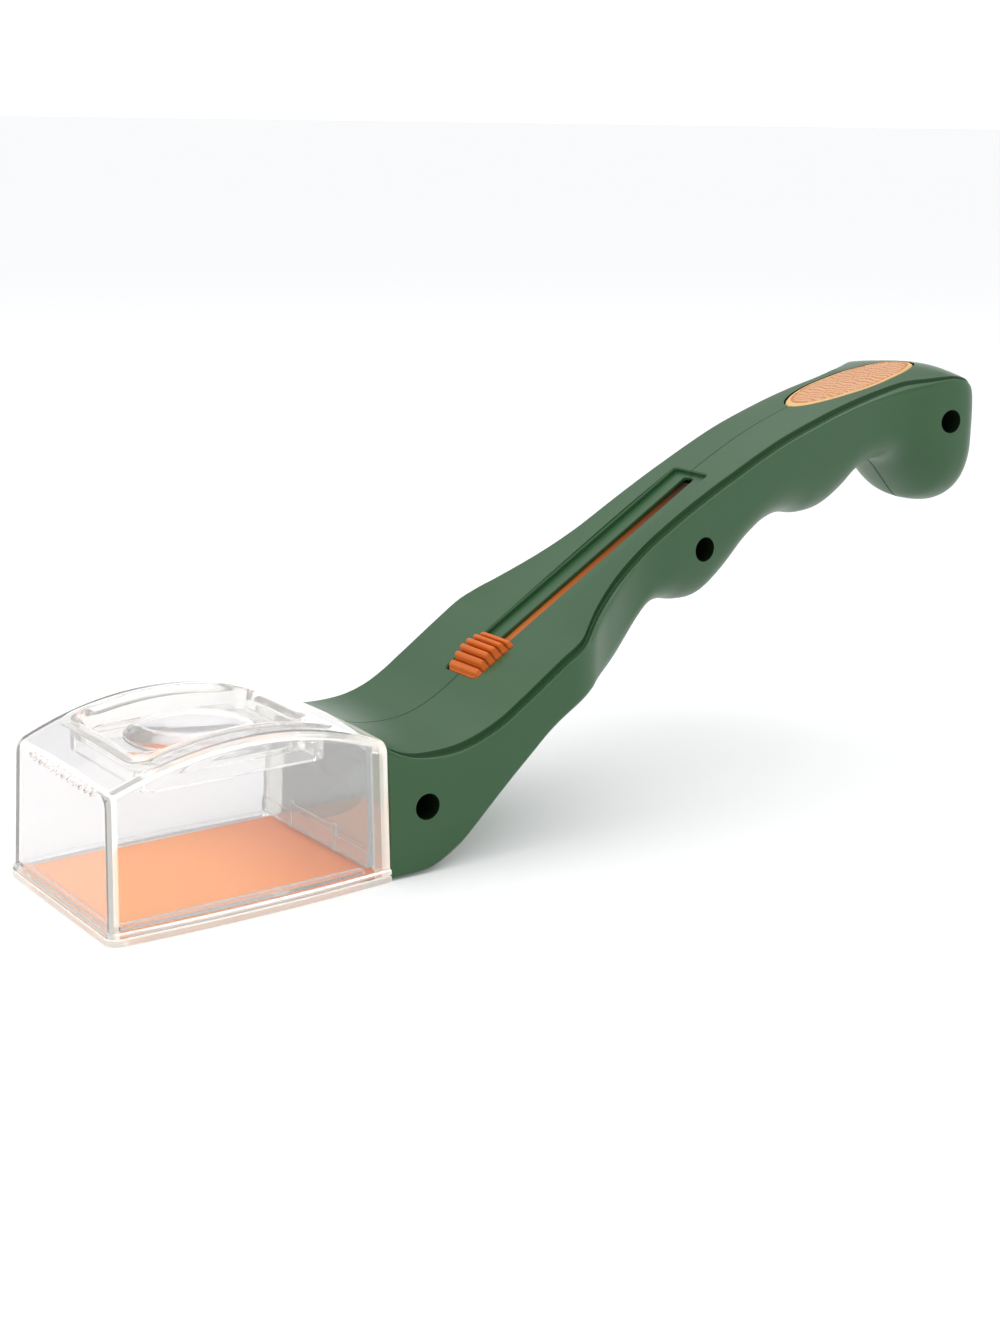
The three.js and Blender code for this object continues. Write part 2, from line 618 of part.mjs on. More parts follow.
// Clear cover: walls and arched roof in one moulding, with rails over the door's edges, a thick
// collar at the rear and a short spigot that plugs into the handle
function makeCapsuleCover() {
  const outside = capsuleForm(0, 0, CAPSULE_LENGTH);
  const inside = capsuleForm(CAPSULE_WALL, -OVERRUN, CAPSULE_LENGTH + OVERRUN);
  const aboveBase = box([-OVERRUN, -halfCapsule, coverUnder], [OVERALL_LENGTH, halfCapsule, aboveRoof]);
  const rimLimit = box(
    [-OVERRUN, -halfCapsule, coverUnder],
    [CAPSULE_LENGTH, halfCapsule, coverUnder + COVER_RIM_HEIGHT],
  );
  const rim = capsuleForm(-COVER_RIM_LIP, 0, CAPSULE_LENGTH).intersect(rimLimit);
  const collarLimit = box(
    [CAPSULE_LENGTH - REAR_COLLAR_LENGTH, -halfCapsule, coverUnder],
    [CAPSULE_LENGTH, halfCapsule, aboveRoof],
  );
  const collarHole = capsuleForm(REAR_COLLAR_THICKNESS, -OVERRUN, CAPSULE_LENGTH + OVERRUN);
  const collar = outside.intersect(collarLimit).subtract(collarHole);
  const railLimit = box(
    [-OVERRUN, -halfCapsule, railUnder],
    [backPlateFront - SILL_THICKNESS - SILL_POST_REACH - FIT, halfCapsule, railUnder + RAIL_HEIGHT],
  );
  const railGap = box(
    [CAPSULE_WALL + RAIL_FRONT_WIDTH, -railHalfGap, 0],
    [CAPSULE_LENGTH, railHalfGap, aboveRoof],
  );
  const rails = outside.intersect(railLimit).subtract(railGap);
  const spigotFront = CAPSULE_LENGTH - REAR_COLLAR_LENGTH / 2;
  const spigotRear = CAPSULE_LENGTH + SPIGOT_LENGTH;
  const spigotLimit = box([spigotFront, -halfCapsule, doorTop], [spigotRear, halfCapsule, aboveRoof]);
  const spigot = handleForm(SHELL_WALL + FIT, spigotFront - OVERRUN, spigotRear + OVERRUN)
    .intersect(spigotLimit)
    .subtract(handleForm(SHELL_WALL + FIT + SPIGOT_WALL, spigotFront - OVERRUN, spigotRear + OVERRUN));
  let cover = outside.intersect(aboveBase).add(rim).subtract(inside);
  cover = cover.add(rails).add(collar).add(spigot);
  cover = cover.subtract(prism(frameOutline(FIT), frameBottom, aboveRoof));
  cover = cover.subtract(doorTrack);
  cover = cover.subtract(catchPocket(1)).subtract(catchPocket(-1));
  return cover.subtract(ventHoles());
}

// Space that the door and its lip run through
const doorTrack = box(
  [CAPSULE_WALL, -doorHalfWidth - FIT, 0],
  [CAPSULE_LENGTH + OVERRUN, doorHalfWidth + FIT, railUnder],
);

function ventHoles() {
  const firstY = (-(VENT_COUNT - 1) / 2) * VENT_PITCH;
  const holes = [];
  for (let i = 0; i < VENT_COUNT; i += 1) {
    const radius = VENT_DIAMETER / 2;
    const geometry = new THREE.CylinderGeometry(radius, radius, 2 * OVERRUN, 2 * FILLET_STEPS);
    geometry.rotateZ(Math.PI / 2);
    geometry.translate(CAPSULE_FRONT_LEAN, firstY + i * VENT_PITCH, CAPSULE_WALL_HEIGHT - VENT_DROP);
    holes.push(solidOf(geometry));
  }
  return wasm.Manifold.union(holes);
}

// Catches at the sides of the back plate, and the pockets that they snap into
function catchBlock(sideSign, grow) {
  const middleX = (backPlateFront + backPlateRear) / 2;
  const y = capsuleHalfWidth(middleX) - CAPSULE_WALL - (CAPSULE_SIDE_LEAN * CATCH_LEVEL) / CAPSULE_WALL_HEIGHT;
  const inner = sideSign * (y - 2 * CATCH_REACH);
  const outer = sideSign * (y + CATCH_REACH + grow);
  return box(
    [middleX - CATCH_LENGTH / 2 - grow, Math.min(inner, outer), CATCH_LEVEL - CATCH_HEIGHT / 2 - grow],
    [middleX + CATCH_LENGTH / 2 + grow, Math.max(inner, outer), CATCH_LEVEL + CATCH_HEIGHT / 2 + grow],
  );
}

function catchPocket(sideSign) {
  return catchBlock(sideSign, FIT);
}

function makeBackPlate() {
  const reach = halfCapsule;
  let plate = box([backPlateFront, -reach, backPlateUnder], [backPlateRear, reach, aboveRoof]);
  const sillFront = backPlateFront - SILL_THICKNESS;
  const sill = (halfWidth, height) => box(
    [sillFront, -halfWidth, backPlateUnder],
    [backPlateFront + SILL_THICKNESS / 2, halfWidth, backPlateUnder + height],
  );
  plate = plate.add(sill(SILL_HALF_WIDTH, SILL_HEIGHT)).add(sill(reach, SILL_SIDE_HEIGHT));
  const postTop = backPlateUnder + SILL_HEIGHT + SILL_POST_RISE;
  for (const sideSign of [1, -1]) {
    const y = sideSign * (SILL_HALF_WIDTH - SILL_POST_WIDTH / 2);
    plate = plate.add(box(
      [sillFront - SILL_POST_REACH, y - SILL_POST_WIDTH / 2, backPlateUnder],
      [backPlateFront + SILL_THICKNESS / 2, y + SILL_POST_WIDTH / 2, postTop],
    ));
  }
  plate = plate.intersect(capsuleForm(CAPSULE_WALL + FIT, -OVERRUN, CAPSULE_LENGTH + OVERRUN));
  return plate.add(catchBlock(1, 0)).add(catchBlock(-1, 0));
}

// Base frame under the capsule: the rim that it rests on and the ledge that the door runs on
function makeBaseFrame() {
  const limit = box([-OVERRUN, -halfCapsule, 0], [CAPSULE_LENGTH, halfCapsule, BASE_THICKNESS]);
  const opening = roundedOutline(
    BASE_BAR,
    CAPSULE_LENGTH - BASE_BAR,
    railHalfGap,
    BASE_OPENING_RADIUS,
  );
  return capsuleForm(-BASE_LIP, -OVERRUN, CAPSULE_LENGTH)
    .intersect(limit)
    .subtract(prism(opening, -OVERRUN, BASE_THICKNESS + OVERRUN));
}

// Lens frame: a rim on the roof, walls through the roof's opening, and a ledge for the lens
function makeLensFrame() {
  const raised = capsuleForm(-RIM_RISE, 0, CAPSULE_LENGTH);
  const rim = prism(frameOutline(RIM_WIDTH), CAPSULE_WALL_HEIGHT - OVERRUN, aboveRoof)
    .intersect(raised)
    .subtract(capsuleForm(-SEAM, 0, CAPSULE_LENGTH));
  const walls = prism(frameOutline(0), frameBottom, aboveRoof).intersect(raised);
  const seatTop = lensTop - LENS_PLATE_THICKNESS - SEAM;
  const well = prism(windowOutline(0), seatTop, aboveRoof);
  const throat = prism(windowOutline(-LENS_SEAT_WIDTH), frameBottom - OVERRUN, aboveRoof);
  const hollow = prism(frameOutline(-FRAME_WALL), frameBottom - OVERRUN, seatTop - LENS_SEAT_THICKNESS);
  return rim.add(walls).subtract(well).subtract(throat).subtract(hollow).subtract(wellFlare());
}

// Flared mouth of the well, which follows the arch of the roof
function wellFlare() {
  const level = (grow, rise) => windowOutline(grow)
    .getPoints(FILLET_STEPS)
    .slice(0, -1)
    .map(({ x, y }) => [x, y, roofEdgeHeight(x) + CAPSULE_ROOF_CROWN + rise]);
  return loft([level(0, -RIM_FLARE_DEPTH), level(RIM_FLARE, RIM_RISE)]);
}

// Lens: a rounded plate with a bulge on both faces, resting on the ledge
function makeLens() {
  const plate = prism(windowOutline(-FIT), lensTop - LENS_PLATE_THICKNESS, lensTop);
  const profile = [];
  for (let i = 0; i <= ARC_STEPS; i += 1) {
    const turn = Math.PI * (i / ARC_STEPS) - Math.PI / 2;
    const r = i === 0 || i === ARC_STEPS ? 0 : (LENS_DIAMETER / 2) * Math.cos(turn);
    profile.push(new THREE.Vector2(r, (LENS_BULGE + LENS_PLATE_THICKNESS / 2) * Math.sin(turn)));
  }
  const geometry = new THREE.LatheGeometry(profile, 3 * ARC_STEPS);
  geometry.rotateX(Math.PI / 2);
  geometry.translate(windowMiddle, 0, lensTop - LENS_PLATE_THICKNESS / 2);
  return plate.add(solidOf(geometry));
}

// Handle: the whole outer form, hollowed, with beds for the slot and the pad
function screwBosses(sideSign) {
  const reach = PALM_HALF_WIDTH + OVERRUN;
  return Object.values(screwPlaces).map(({ x, z }) => {
    if (sideSign < 0) {
      return rodAcross(SCREW_RECESS_DIAMETER + 2 * BOSS_WALL, x, z, -reach, -SEAM / 2);
    }
    return rodAcross(BOSS_POST_DIAMETER, x, z, SEAM / 2, reach);
  });
}

function padOutline(grow) {
  const shape = new THREE.Shape();
  const half = (padRear - padFront) / 2;
  shape.absellipse((padFront + padRear) / 2, 0, half + grow, PAD_HALF_WIDTH + grow, 0, 2 * Math.PI);
  return shape;
}

function padBlock(grow) {
  return prism(padOutline(grow), HANDLE_TOP - PAD_REACH_DOWN, HANDLE_TOP + OVERRUN, 2 * ARC_STEPS);
}

function handlePart(inset) {
  return handleForm(inset, handleFront, OVERALL_LENGTH);
}

function insideOfHandle() {
  return handleForm(SHELL_WALL, handleFront - OVERRUN, OVERALL_LENGTH - HANDLE_REAR_TRIM, 2);
}

// Centre line of the sheet behind the door, in the XZ plane
function stripPath() {
  const level = (doorUnder + doorTop) / 2;
  const depth = (stripTop + stripUnder) / 2;
  const onSlot = (s) => new THREE.Vector3(s, 0, depth).applyMatrix4(slotMatrix);
  const start = new THREE.Vector3(handleFront, 0, level);
  const bendStart = new THREE.Vector3(handleFront + STRIP_LEVEL_RUN, 0, level);
  const join = onSlot(stripJoin);
  const along = onSlot(stripJoin + 1).sub(join).normalize();
  const reach = bendStart.distanceTo(join);
  const bend = new THREE.CubicBezierCurve3(
    bendStart,
    bendStart.clone().add(new THREE.Vector3(reach * STRIP_BEND_SHARES[0], 0, 0)),
    join.clone().sub(along.multiplyScalar(reach * STRIP_BEND_SHARES[1])),
    join,
  );
  const path = new THREE.CurvePath();
  path.add(new THREE.LineCurve3(start, bendStart));
  path.add(bend);
  path.add(new THREE.LineCurve3(join, onSlot(SLOT_LENGTH - STRIP_TAIL_MARGIN)));
  return path;
}

// Sheet strip as rings of four corners along its path
function makeSheetStrip() {
  const path = stripPath();
  const [level, bend, straight] = path.curves;
  const points = [level.getPoint(0)];
  for (let i = 0; i <= ARC_STEPS; i += 1) {
    points.push(bend.getPoint(i / ARC_STEPS));
  }
  points.push(straight.getPoint(1));
  const rings = points.map((point, i) => {
    const before = points[Math.max(i - 1, 0)];
    const after = points[Math.min(i + 1, points.length - 1)];
    const along = after.clone().sub(before).normalize();
    const normal = new THREE.Vector3(-along.z, 0, along.x).multiplyScalar(DOOR_THICKNESS / 2);
    const taper = Math.min((point.x - handleFront) / STRIP_TAPER_LENGTH, 1);
    const halfWidth = stripFrontHalfWidth + (STRIP_HALF_WIDTH - stripFrontHalfWidth) * taper;
    const upper = point.clone().add(normal);
    const lower = point.clone().sub(normal);
    return [
      [upper.x, -halfWidth, upper.z],
      [lower.x, -halfWidth, lower.z],
      [lower.x, halfWidth, lower.z],
      [upper.x, halfWidth, upper.z],
    ];
  });
  return loft(rings);
}

// Part of the inside that lies under the sheet, for the ribs that carry it
function spaceUnderStrip() {
  const points = stripPath().getPoints(ARC_STEPS);
  const shape = new THREE.Shape();
  shape.moveTo(handleFront, -OVERRUN);
  for (const point of points) {
    shape.lineTo(point.x, point.z - ribClearance);
  }
  const tail = points[points.length - 1];
  shape.lineTo(OVERALL_LENGTH, tail.z + ribClearance);
  shape.lineTo(OVERALL_LENGTH, -OVERRUN);
  shape.closePath();
  const depth = 2 * (PALM_HALF_WIDTH + OVERRUN);
  const geometry = new THREE.ExtrudeGeometry(shape, { depth, bevelEnabled: false });
  geometry.rotateX(Math.PI / 2);
  geometry.translate(0, depth / 2, 0);
  return solidOf(geometry);
}

function makeShells() {
  const outside = handlePart(0);
  const inside = insideOfHandle();
  const slotHalf = SLOT_WIDTH / 2;
  const slotBed = slotBlock(
    -SLOT_BED_BORDER,
    SLOT_LENGTH + SLOT_BED_BORDER,
    slotHalf + SLOT_BED_BORDER,
    SLOT_CORNER_RADIUS,
    slotFloorUnder,
    OVERRUN,
  ).intersect(outside);
  const padBed = padBlock(PAD_BED_BORDER)
    .intersect(outside)
    .subtract(handlePart(PAD_THICKNESS - PAD_PROUD + FIT + PAD_BED));
  const recess = slotBlock(0, SLOT_LENGTH, slotHalf, SLOT_CORNER_RADIUS, slotFloorTop, SLOT_LENGTH);
  const slit = slotBlock(
    SLIT_END_MARGIN,
    SLOT_LENGTH - SLIT_END_MARGIN,
    SLIT_WIDTH / 2,
    SLIT_WIDTH / 4,
    slotFloorUnder - OVERRUN,
    OVERRUN,
  );
  const padRecess = padBlock(FIT)
    .subtract(handlePart(PAD_THICKNESS - PAD_PROUD + FIT));
  const ribs = RIB_PLACE_SHARES.map(alongHandle).map((x) => box(
    [x, -PALM_HALF_WIDTH - OVERRUN, 0],
    [x + RIB_THICKNESS, PALM_HALF_WIDTH + OVERRUN, HANDLE_TOP],
  ));
  const ribPlates = wasm.Manifold.union(ribs).intersect(outside).intersect(spaceUnderStrip());
  const shell = outside.subtract(inside).add(slotBed).add(padBed).add(ribPlates);

  return [-1, 1].map((sideSign) => {
    const bosses = wasm.Manifold.union(screwBosses(sideSign)).intersect(outside);
    let half = shell.add(bosses).subtract(recess).subtract(slit).subtract(padRecess);
    half = half.subtract(doorChannel);
    for (const { x, z } of Object.values(screwPlaces)) {
      if (sideSign < 0) {
        half = half.subtract(rodAcross(SCREW_RECESS_DIAMETER, x, z, -PALM_HALF_WIDTH - OVERRUN, SCREW_SEAT_Y));
        half = half.subtract(rodAcross(SCREW_SHANK_DIAMETER + 2 * FIT, x, z, SCREW_SEAT_Y - FIT, OVERRUN));
      } else {
        const pilotEnd = SCREW_SEAT_Y + SCREW_SHANK_LENGTH + FIT;
        half = half.subtract(rodAcross(SCREW_SHANK_DIAMETER + 2 * FIT, x, z, -OVERRUN, pilotEnd));
      }
    }
    const low = [0, -PALM_HALF_WIDTH - OVERRUN, -OVERRUN];
    const high = [OVERALL_LENGTH + OVERRUN, PALM_HALF_WIDTH + OVERRUN, HANDLE_TOP + OVERRUN];
    if (sideSign < 0) {
      high[1] = -SEAM / 2;
    } else {
      low[1] = SEAM / 2;
    }
    return half.intersect(box(low, high));
  });
}

// Thumb slide: a ribbed wedge that stands in the slot, with a short stem in the slit
function makeThumbSlide() {
  const front = FIT;
  const rear = FIT + SLIDE_LENGTH;
  const under = slotFloorTop + FIT;
  const half = SLOT_WIDTH / 2 - FIT;
  const ribPitch = SLIDE_LENGTH / SLIDE_RIB_COUNT;
  const profile = new THREE.Shape();
  profile.moveTo(front, under);
  profile.lineTo(rear, under);
  const crown = front + SLIDE_LENGTH * SLIDE_CROWN_SHARE;
  const crestAt = (x) => SLIDE_RISE - SLIDE_NOSE_DROP * ((x - crown) / (crown - front - ribPitch / 2)) ** 2;
  const [footFront, slopeFront, crestMiddle, slopeRear, footRear] = SLIDE_RIB_SHARES;
  for (let i = SLIDE_RIB_COUNT - 1; i >= 0; i -= 1) {
    const start = front + i * ribPitch;
    const crest = crestAt(start + ribPitch / 2);
    profile.lineTo(start + ribPitch * footRear, crest - SLIDE_RIB_DEPTH);
    profile.lineTo(start + ribPitch * slopeRear, crest - SLIDE_RIB_DEPTH * SLIDE_REAR_FLANK_SHARE);
    profile.lineTo(start + ribPitch * crestMiddle, crest);
    profile.lineTo(start + ribPitch * slopeFront, crest - SLIDE_RIB_DEPTH * SLIDE_FRONT_FLANK_SHARE);
    profile.lineTo(start + ribPitch * footFront, crest - SLIDE_RIB_DEPTH);
  }
  profile.closePath();
  const ribbed = new THREE.ExtrudeGeometry(profile, { depth: 2 * half, bevelEnabled: false });
  ribbed.rotateX(Math.PI / 2);
  ribbed.translate(0, half, 0);
  const sideProfile = new THREE.Shape();
  sideProfile.moveTo(-half, under);
  sideProfile.lineTo(half, under);
  sideProfile.lineTo(half, 0);
  sideProfile.lineTo(half - SLIDE_SIDE_SLOPE, SLIDE_RISE);
  sideProfile.lineTo(SLIDE_SIDE_SLOPE - half, SLIDE_RISE);
  sideProfile.lineTo(-half, 0);
  sideProfile.closePath();
  const envelope = new THREE.ExtrudeGeometry(sideProfile, { depth: SLIDE_LENGTH, bevelEnabled: false });
  envelope.rotateX(Math.PI / 2);
  envelope.rotateZ(Math.PI / 2);
  envelope.translate(front, 0, 0);
  const stemMiddle = (front + rear) / 2;
  const stem = box(
    [stemMiddle - SLIDE_STEM_LENGTH / 2, FIT - SLIT_WIDTH / 2, slotFloorUnder],
    [stemMiddle + SLIDE_STEM_LENGTH / 2, SLIT_WIDTH / 2 - FIT, under + FIT],
  );
  const footprint = prism(roundedOutline(front, rear, half, SLOT_CORNER_RADIUS), under, SLIDE_LENGTH);
  return solidOf(ribbed).intersect(solidOf(envelope)).intersect(footprint).add(stem);
}

// Clip under the sheet, below the thumb slide
function makeSlideClip() {
  const middle = FIT + SLIDE_LENGTH / 2;
  return box(
    [middle - CLIP_LENGTH / 2, -CLIP_WIDTH / 2, clipTop - CLIP_THICKNESS],
    [middle + CLIP_LENGTH / 2, CLIP_WIDTH / 2, clipTop],
  );
}

function makeThumbPad() {
  return padBlock(0)
    .intersect(handlePart(-PAD_PROUD))
    .subtract(handlePart(PAD_THICKNESS - PAD_PROUD));
}

function makeScrew({ x, z }) {
  const headUnder = SCREW_SEAT_Y - FIT;
  const headTop = headUnder - SCREW_HEAD_HEIGHT;
  let screw = rodAcross(SCREW_HEAD_DIAMETER, x, z, headTop, headUnder)
    .add(rodAcross(SCREW_SHANK_DIAMETER, x, z, headUnder - FIT, SCREW_SEAT_Y + SCREW_SHANK_LENGTH));
  const wide = SCREW_CROSS_LENGTH / 2;
  const thin = SCREW_CROSS_WIDTH / 2;
  for (const [reachX, reachZ] of [[wide, thin], [thin, wide]]) {
    screw = screw.subtract(box(
      [x - reachX, headTop - OVERRUN, z - reachZ],
      [x + reachX, headTop + SCREW_CROSS_DEPTH, z + reachZ],
    ));
  }
  return screw;
}

addPiece('capsule_cover', makeCapsuleCover(), clearPlastic);
addPiece('base_frame', makeBaseFrame(), clearPlastic);
addPiece('back_plate', makeBackPlate(), clearPlastic);
addPiece('lens_frame', makeLensFrame(), clearPlastic);
addPiece('magnifier_lens', makeLens(), lensPlastic);

const [leftShell, rightShell] = makeShells();
addPiece('left_shell', leftShell, greenPlastic);
addPiece('right_shell', rightShell, greenPlastic);

const doorFront = CAPSULE_WALL + FIT;
addPiece('door_lip', box(
  [doorFront, -doorHalfWidth, doorUnder],
  [doorFront + DOOR_LIP_LENGTH, doorHalfWidth, lipTop],
), sheetPlastic);
addPiece('door_sheet', box(
  [doorFront + DOOR_LIP_LENGTH + FIT, -doorHalfWidth, doorUnder],
  [CAPSULE_LENGTH, doorHalfWidth, doorTop],
), sheetPlastic);
addPiece('sheet_strip', makeSheetStrip(), sheetPlastic);
addPiece('thumb_pad', makeThumbPad(), padRubber);
for (const [place, at] of Object.entries(screwPlaces)) {
  addPiece(`screw_${place}`, makeScrew(at), screwSteel);
}

const slideGroup = new THREE.Group();
slideGroup.position.set(slotFrontPoint.x, 0, slotFrontPoint.y);
slideGroup.rotation.y = -slotAngle;
frame.add(slideGroup);
slideGroup.add(addPiece('thumb_slide', makeThumbSlide(), orangePlastic));
slideGroup.add(addPiece('slide_clip', makeSlideClip(), orangePlastic));

const bugCatcher = new THREE.Group();
bugCatcher.add(frame);

export default bugCatcher;
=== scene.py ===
import math

import bmesh
import bpy
from mathutils import Matrix, Vector


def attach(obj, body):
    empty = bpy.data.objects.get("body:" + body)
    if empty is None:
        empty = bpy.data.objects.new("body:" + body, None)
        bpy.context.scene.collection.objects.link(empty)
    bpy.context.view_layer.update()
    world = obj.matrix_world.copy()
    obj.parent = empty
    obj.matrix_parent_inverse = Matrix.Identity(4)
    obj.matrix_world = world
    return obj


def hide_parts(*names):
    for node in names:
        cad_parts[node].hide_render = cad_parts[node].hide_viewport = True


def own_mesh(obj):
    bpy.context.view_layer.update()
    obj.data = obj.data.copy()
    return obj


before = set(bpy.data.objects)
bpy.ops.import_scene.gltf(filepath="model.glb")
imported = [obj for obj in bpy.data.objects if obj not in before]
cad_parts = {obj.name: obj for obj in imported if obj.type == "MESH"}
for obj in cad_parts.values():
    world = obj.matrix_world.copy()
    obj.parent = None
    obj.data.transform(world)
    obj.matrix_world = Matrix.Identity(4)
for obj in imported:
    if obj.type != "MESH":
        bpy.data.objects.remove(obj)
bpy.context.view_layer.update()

# Bug catcher: a clear capsule with a magnifying lens and a thin sliding door, on a long two-part
# handle with a thumb slide. Sizes are millimetres, with x from the capsule's front wall and z from
# the rim that the capsule rests on. They turn into metres in the row frame as each mesh is made.
MM = 0.001
CENTRE_X = 149.6
LENGTH = 300.0
SEAM = 0.2
FIT = 0.3

# Turns, the steps of a round corner, and how far a cutting shape runs past what it cuts
FULL_TURN = 2 * math.pi
QUARTER_TURN = math.pi / 2
ARC_STEPS = 8
OVERRUN = 5.0
FAR = 60.0
WELD_DISTANCE = 1e-7
SHARP_ANGLE = 32.0

# Capsule
CAPSULE_LENGTH = 77.0
CAPSULE_WIDTH = 57.4
SIDE_BOW = 1.6
CORNER_RADIUS = 2.4
WALL_HEIGHT = 36.4
ROOF_RISE = 8.2
ROOF_CROWN = 0.6
ROOF_FILLET = 3.0
WALL = 2.2
SIDE_LEAN = 1.5
FRONT_LEAN = 1.4
COVER_UNDER = 1.8
COLLAR_LENGTH = 3.8
COLLAR_WALL = 3.6
RAIL_UNDER = 3.2
RAIL_TOP = 4.2
RAIL_HALF_GAP = 24.8
DOOR_HALF_WIDTH = 25.9
DOOR_UNDER = 1.9
DOOR_TOP = 2.5
DOOR_TRAVEL = 76.0
LIP_LENGTH = 3.0
LIP_FRONT = WALL + FIT
SHEET_FRONT = LIP_FRONT + LIP_LENGTH + FIT
SHEET_REAR = SHEET_FRONT + DOOR_TRAVEL
PLATE_UNDER = 4.4
PLATE_FRONT = 71.4
PLATE_REAR = 72.9
FRAME_UNDER = 32.8
FRONT_EDGE_RADIUS = 1.4
LEAST_EDGE_RADIUS = 0.4
LEAST_RADIUS = 0.75
LENGTH_STEPS = 30
SIDE_STEPS = 24
RAIL_IN_WALL = 0.5
RAIL_FRONT_GAP = 1.6
RAIL_REAR_GAP = 1.5
VENTS = 12
VENT_PITCH = 3.2
VENT_RADIUS = 0.6
VENT_DROP = 2.0
VENT_STEPS = 16
VENT_CUT = (-3.0, 6.0)

# Lip of the cover and section of the rim under it, each row a growth outward and a height
COVER_LIP = [(0.25, 0.0), (0.6, 0.3), (0.6, 1.2), (0.1, 1.6)]
RIM_SECTION = [(0.3, 0.0), (0.62, 0.12), (0.78, 0.4), (0.78, 1.2), (0.62, 1.48), (0.3, 1.6)]
RIM_OPENING_END = 5.0
RIM_OPENING_RADIUS = 3.0
RIM_CUT = (-2.0, 4.0)

# Stepped sill along the foot of the back plate
SILL_DEPTH = 0.6
SILL_OVERLAP = 0.5
SILL_HEIGHT = 4.0
SILL_MIDDLE_HALF = 11.4
SILL_MIDDLE_HEIGHT = 6.4
SILL_RIB_PLACE = 10.9
SILL_RIB_HALF = 0.5
SILL_RIB_DEPTH = 0.3
SILL_RIB_HEIGHT = 7.2

# A face of the cover that tilts two ways is a rounded edge, unless it faces up as the roof does
EDGE_TILT = 0.3
ROOF_ACROSS = 0.2
ROOF_UP = 0.88

# Lens and its window
WINDOW_FRONT = 14.8
WINDOW_REAR = 59.2
WINDOW_HALF_WIDTH = 18.4
WINDOW_RADIUS = 8.0
WINDOW_MIDDLE = 37.0
FRAME_WALL = 2.0
FRAME_REAR_EXTRA = 2.6
SKIRT_RADIUS = 3.6
RIM_RISE = 0.7
LENS_TOP = 39.2
LENS_PLATE = 1.8
LENS_RADIUS = 17.3
LENS_BULGE = 3.8
LENS_BEVEL = 0.2
LENS_STEPS = 40
LENS_AROUND = 96
WINDOW_STEPS = 12

# Handle
HANDLE_FRONT = CAPSULE_LENGTH + FIT
SHELL_WALL = 2.0

# Crease under the edge of the top, each row a distance out and up from that edge
CREASE = [
    (0.03, -0.14), (0.03, -0.42), (0.02, -0.9), (0.05, -1.4), (0.18, -1.76), (0.38, -1.95),
    (0.62, -1.97), (0.88, -1.88), (1.12, -1.75), (1.36, -1.67), (1.58, -1.68), (1.78, -1.78),
    (1.93, -1.98),
]
EDGE_RADIUS = 0.3

# Screws, each a place along the handle and a height
SCREWS = {"front": (88.0, 17.99), "middle": (189.5, 70.77), "rear": (281.2, 100.3)}
RECESS_DIAMETER = 7.0
SCREW_SEAT_Y = 7.0
SCREW_BORE = 3.2
SCREW_BORE_END = 10.3
RECESS_WALLS = 3.4
RECESS_STEPS = 40
END_WALL = 5.5
CAVITY_BEHIND = 2.0
CAVITY_PITCH = 4.0
HANDLE_PITCH = 1.4
END_PITCH = 0.25
END_PITCH_SHARE = 0.22
CHANNEL_FRONT = 70.0
CHANNEL_ACROSS = 40.0
CHANNEL_UNDER = 1.4
CHANNEL_PAST_SHEET = 7.5

# Section of the handle: the grooves at the seam, above and below, and the steps of each stretch
SEAM_GROOVE = 0.28
SEAM_GROOVE_SHARE = 0.02
UNDER_GROOVE = 0.45
UNDER_GROOVE_SHARE = 0.03
TOP_STEPS = 11
EDGE_STEPS = 3
EDGE_TURN = 58.0
SHOULDER_STEPS = 18
SHOULDER_SPREAD = 0.8
SHOULDER_SQUARENESS = 8
BELLY_STEPS = 24

# Faces of the shells with painted shade: walls of the recesses, and the dark part of the crease
WALL_FACING = 0.5
RECESS_NEAR = 0.05
OVAL_NEAR = 0.01
PAD_LEAST_HEIGHT = 100.0
CREASE_LEAST = 0.3
CREASE_INSIDE = -0.3
CREASE_OUTSIDE = 0.42
CREASE_START = 0.14
CREASE_END = 2

# Slot, thumb slide and pad
SLOT_FRONT = (117.809, 41.9)
SLOT_ANGLE = 0.5390449
SLOT_LENGTH = 93.31
SLOT_HALF_WIDTH = 7.2
SLOT_DEPTH = 1.4
SLIT_WIDTH = 4.2
SLIT_MARGIN = 1.5
SLIDE_LENGTH = 15.2
SLIDE_HALF_WIDTH = 6.9
PAD_MIDDLE = 259.75
PAD_HALF_LENGTH = 24.35
PAD_HALF_WIDTH = 10.0
PAD_GAP = 0.55
PAD_BORDER = 0.75
RIDGE_PITCH = 2.1
SLOT_CORNER = 1.2
SLOT_ARC_STEPS = 6
SLOT_ABOVE = 6.0

# Levels of the slot's mouth and of the slit's edge, each a growth outward and a height
SLOT_MOUTH = [(0, -0.4), (0.35, 0.05), (0.8, SLOT_ABOVE)]
SLIT_BEVEL = [(0, -0.2), (0.25, 0.1)]
BED_DEPTH = 2.4
SLIT_DEPTH = 9.0
SLIT_CORNER = 1.05
PAD_BED_DEPTH = 1.3
PAD_BED_PITCH = 2.0
PAD_CUT = (95.0, 125.0)
PAD_CUT_STEPS = 96

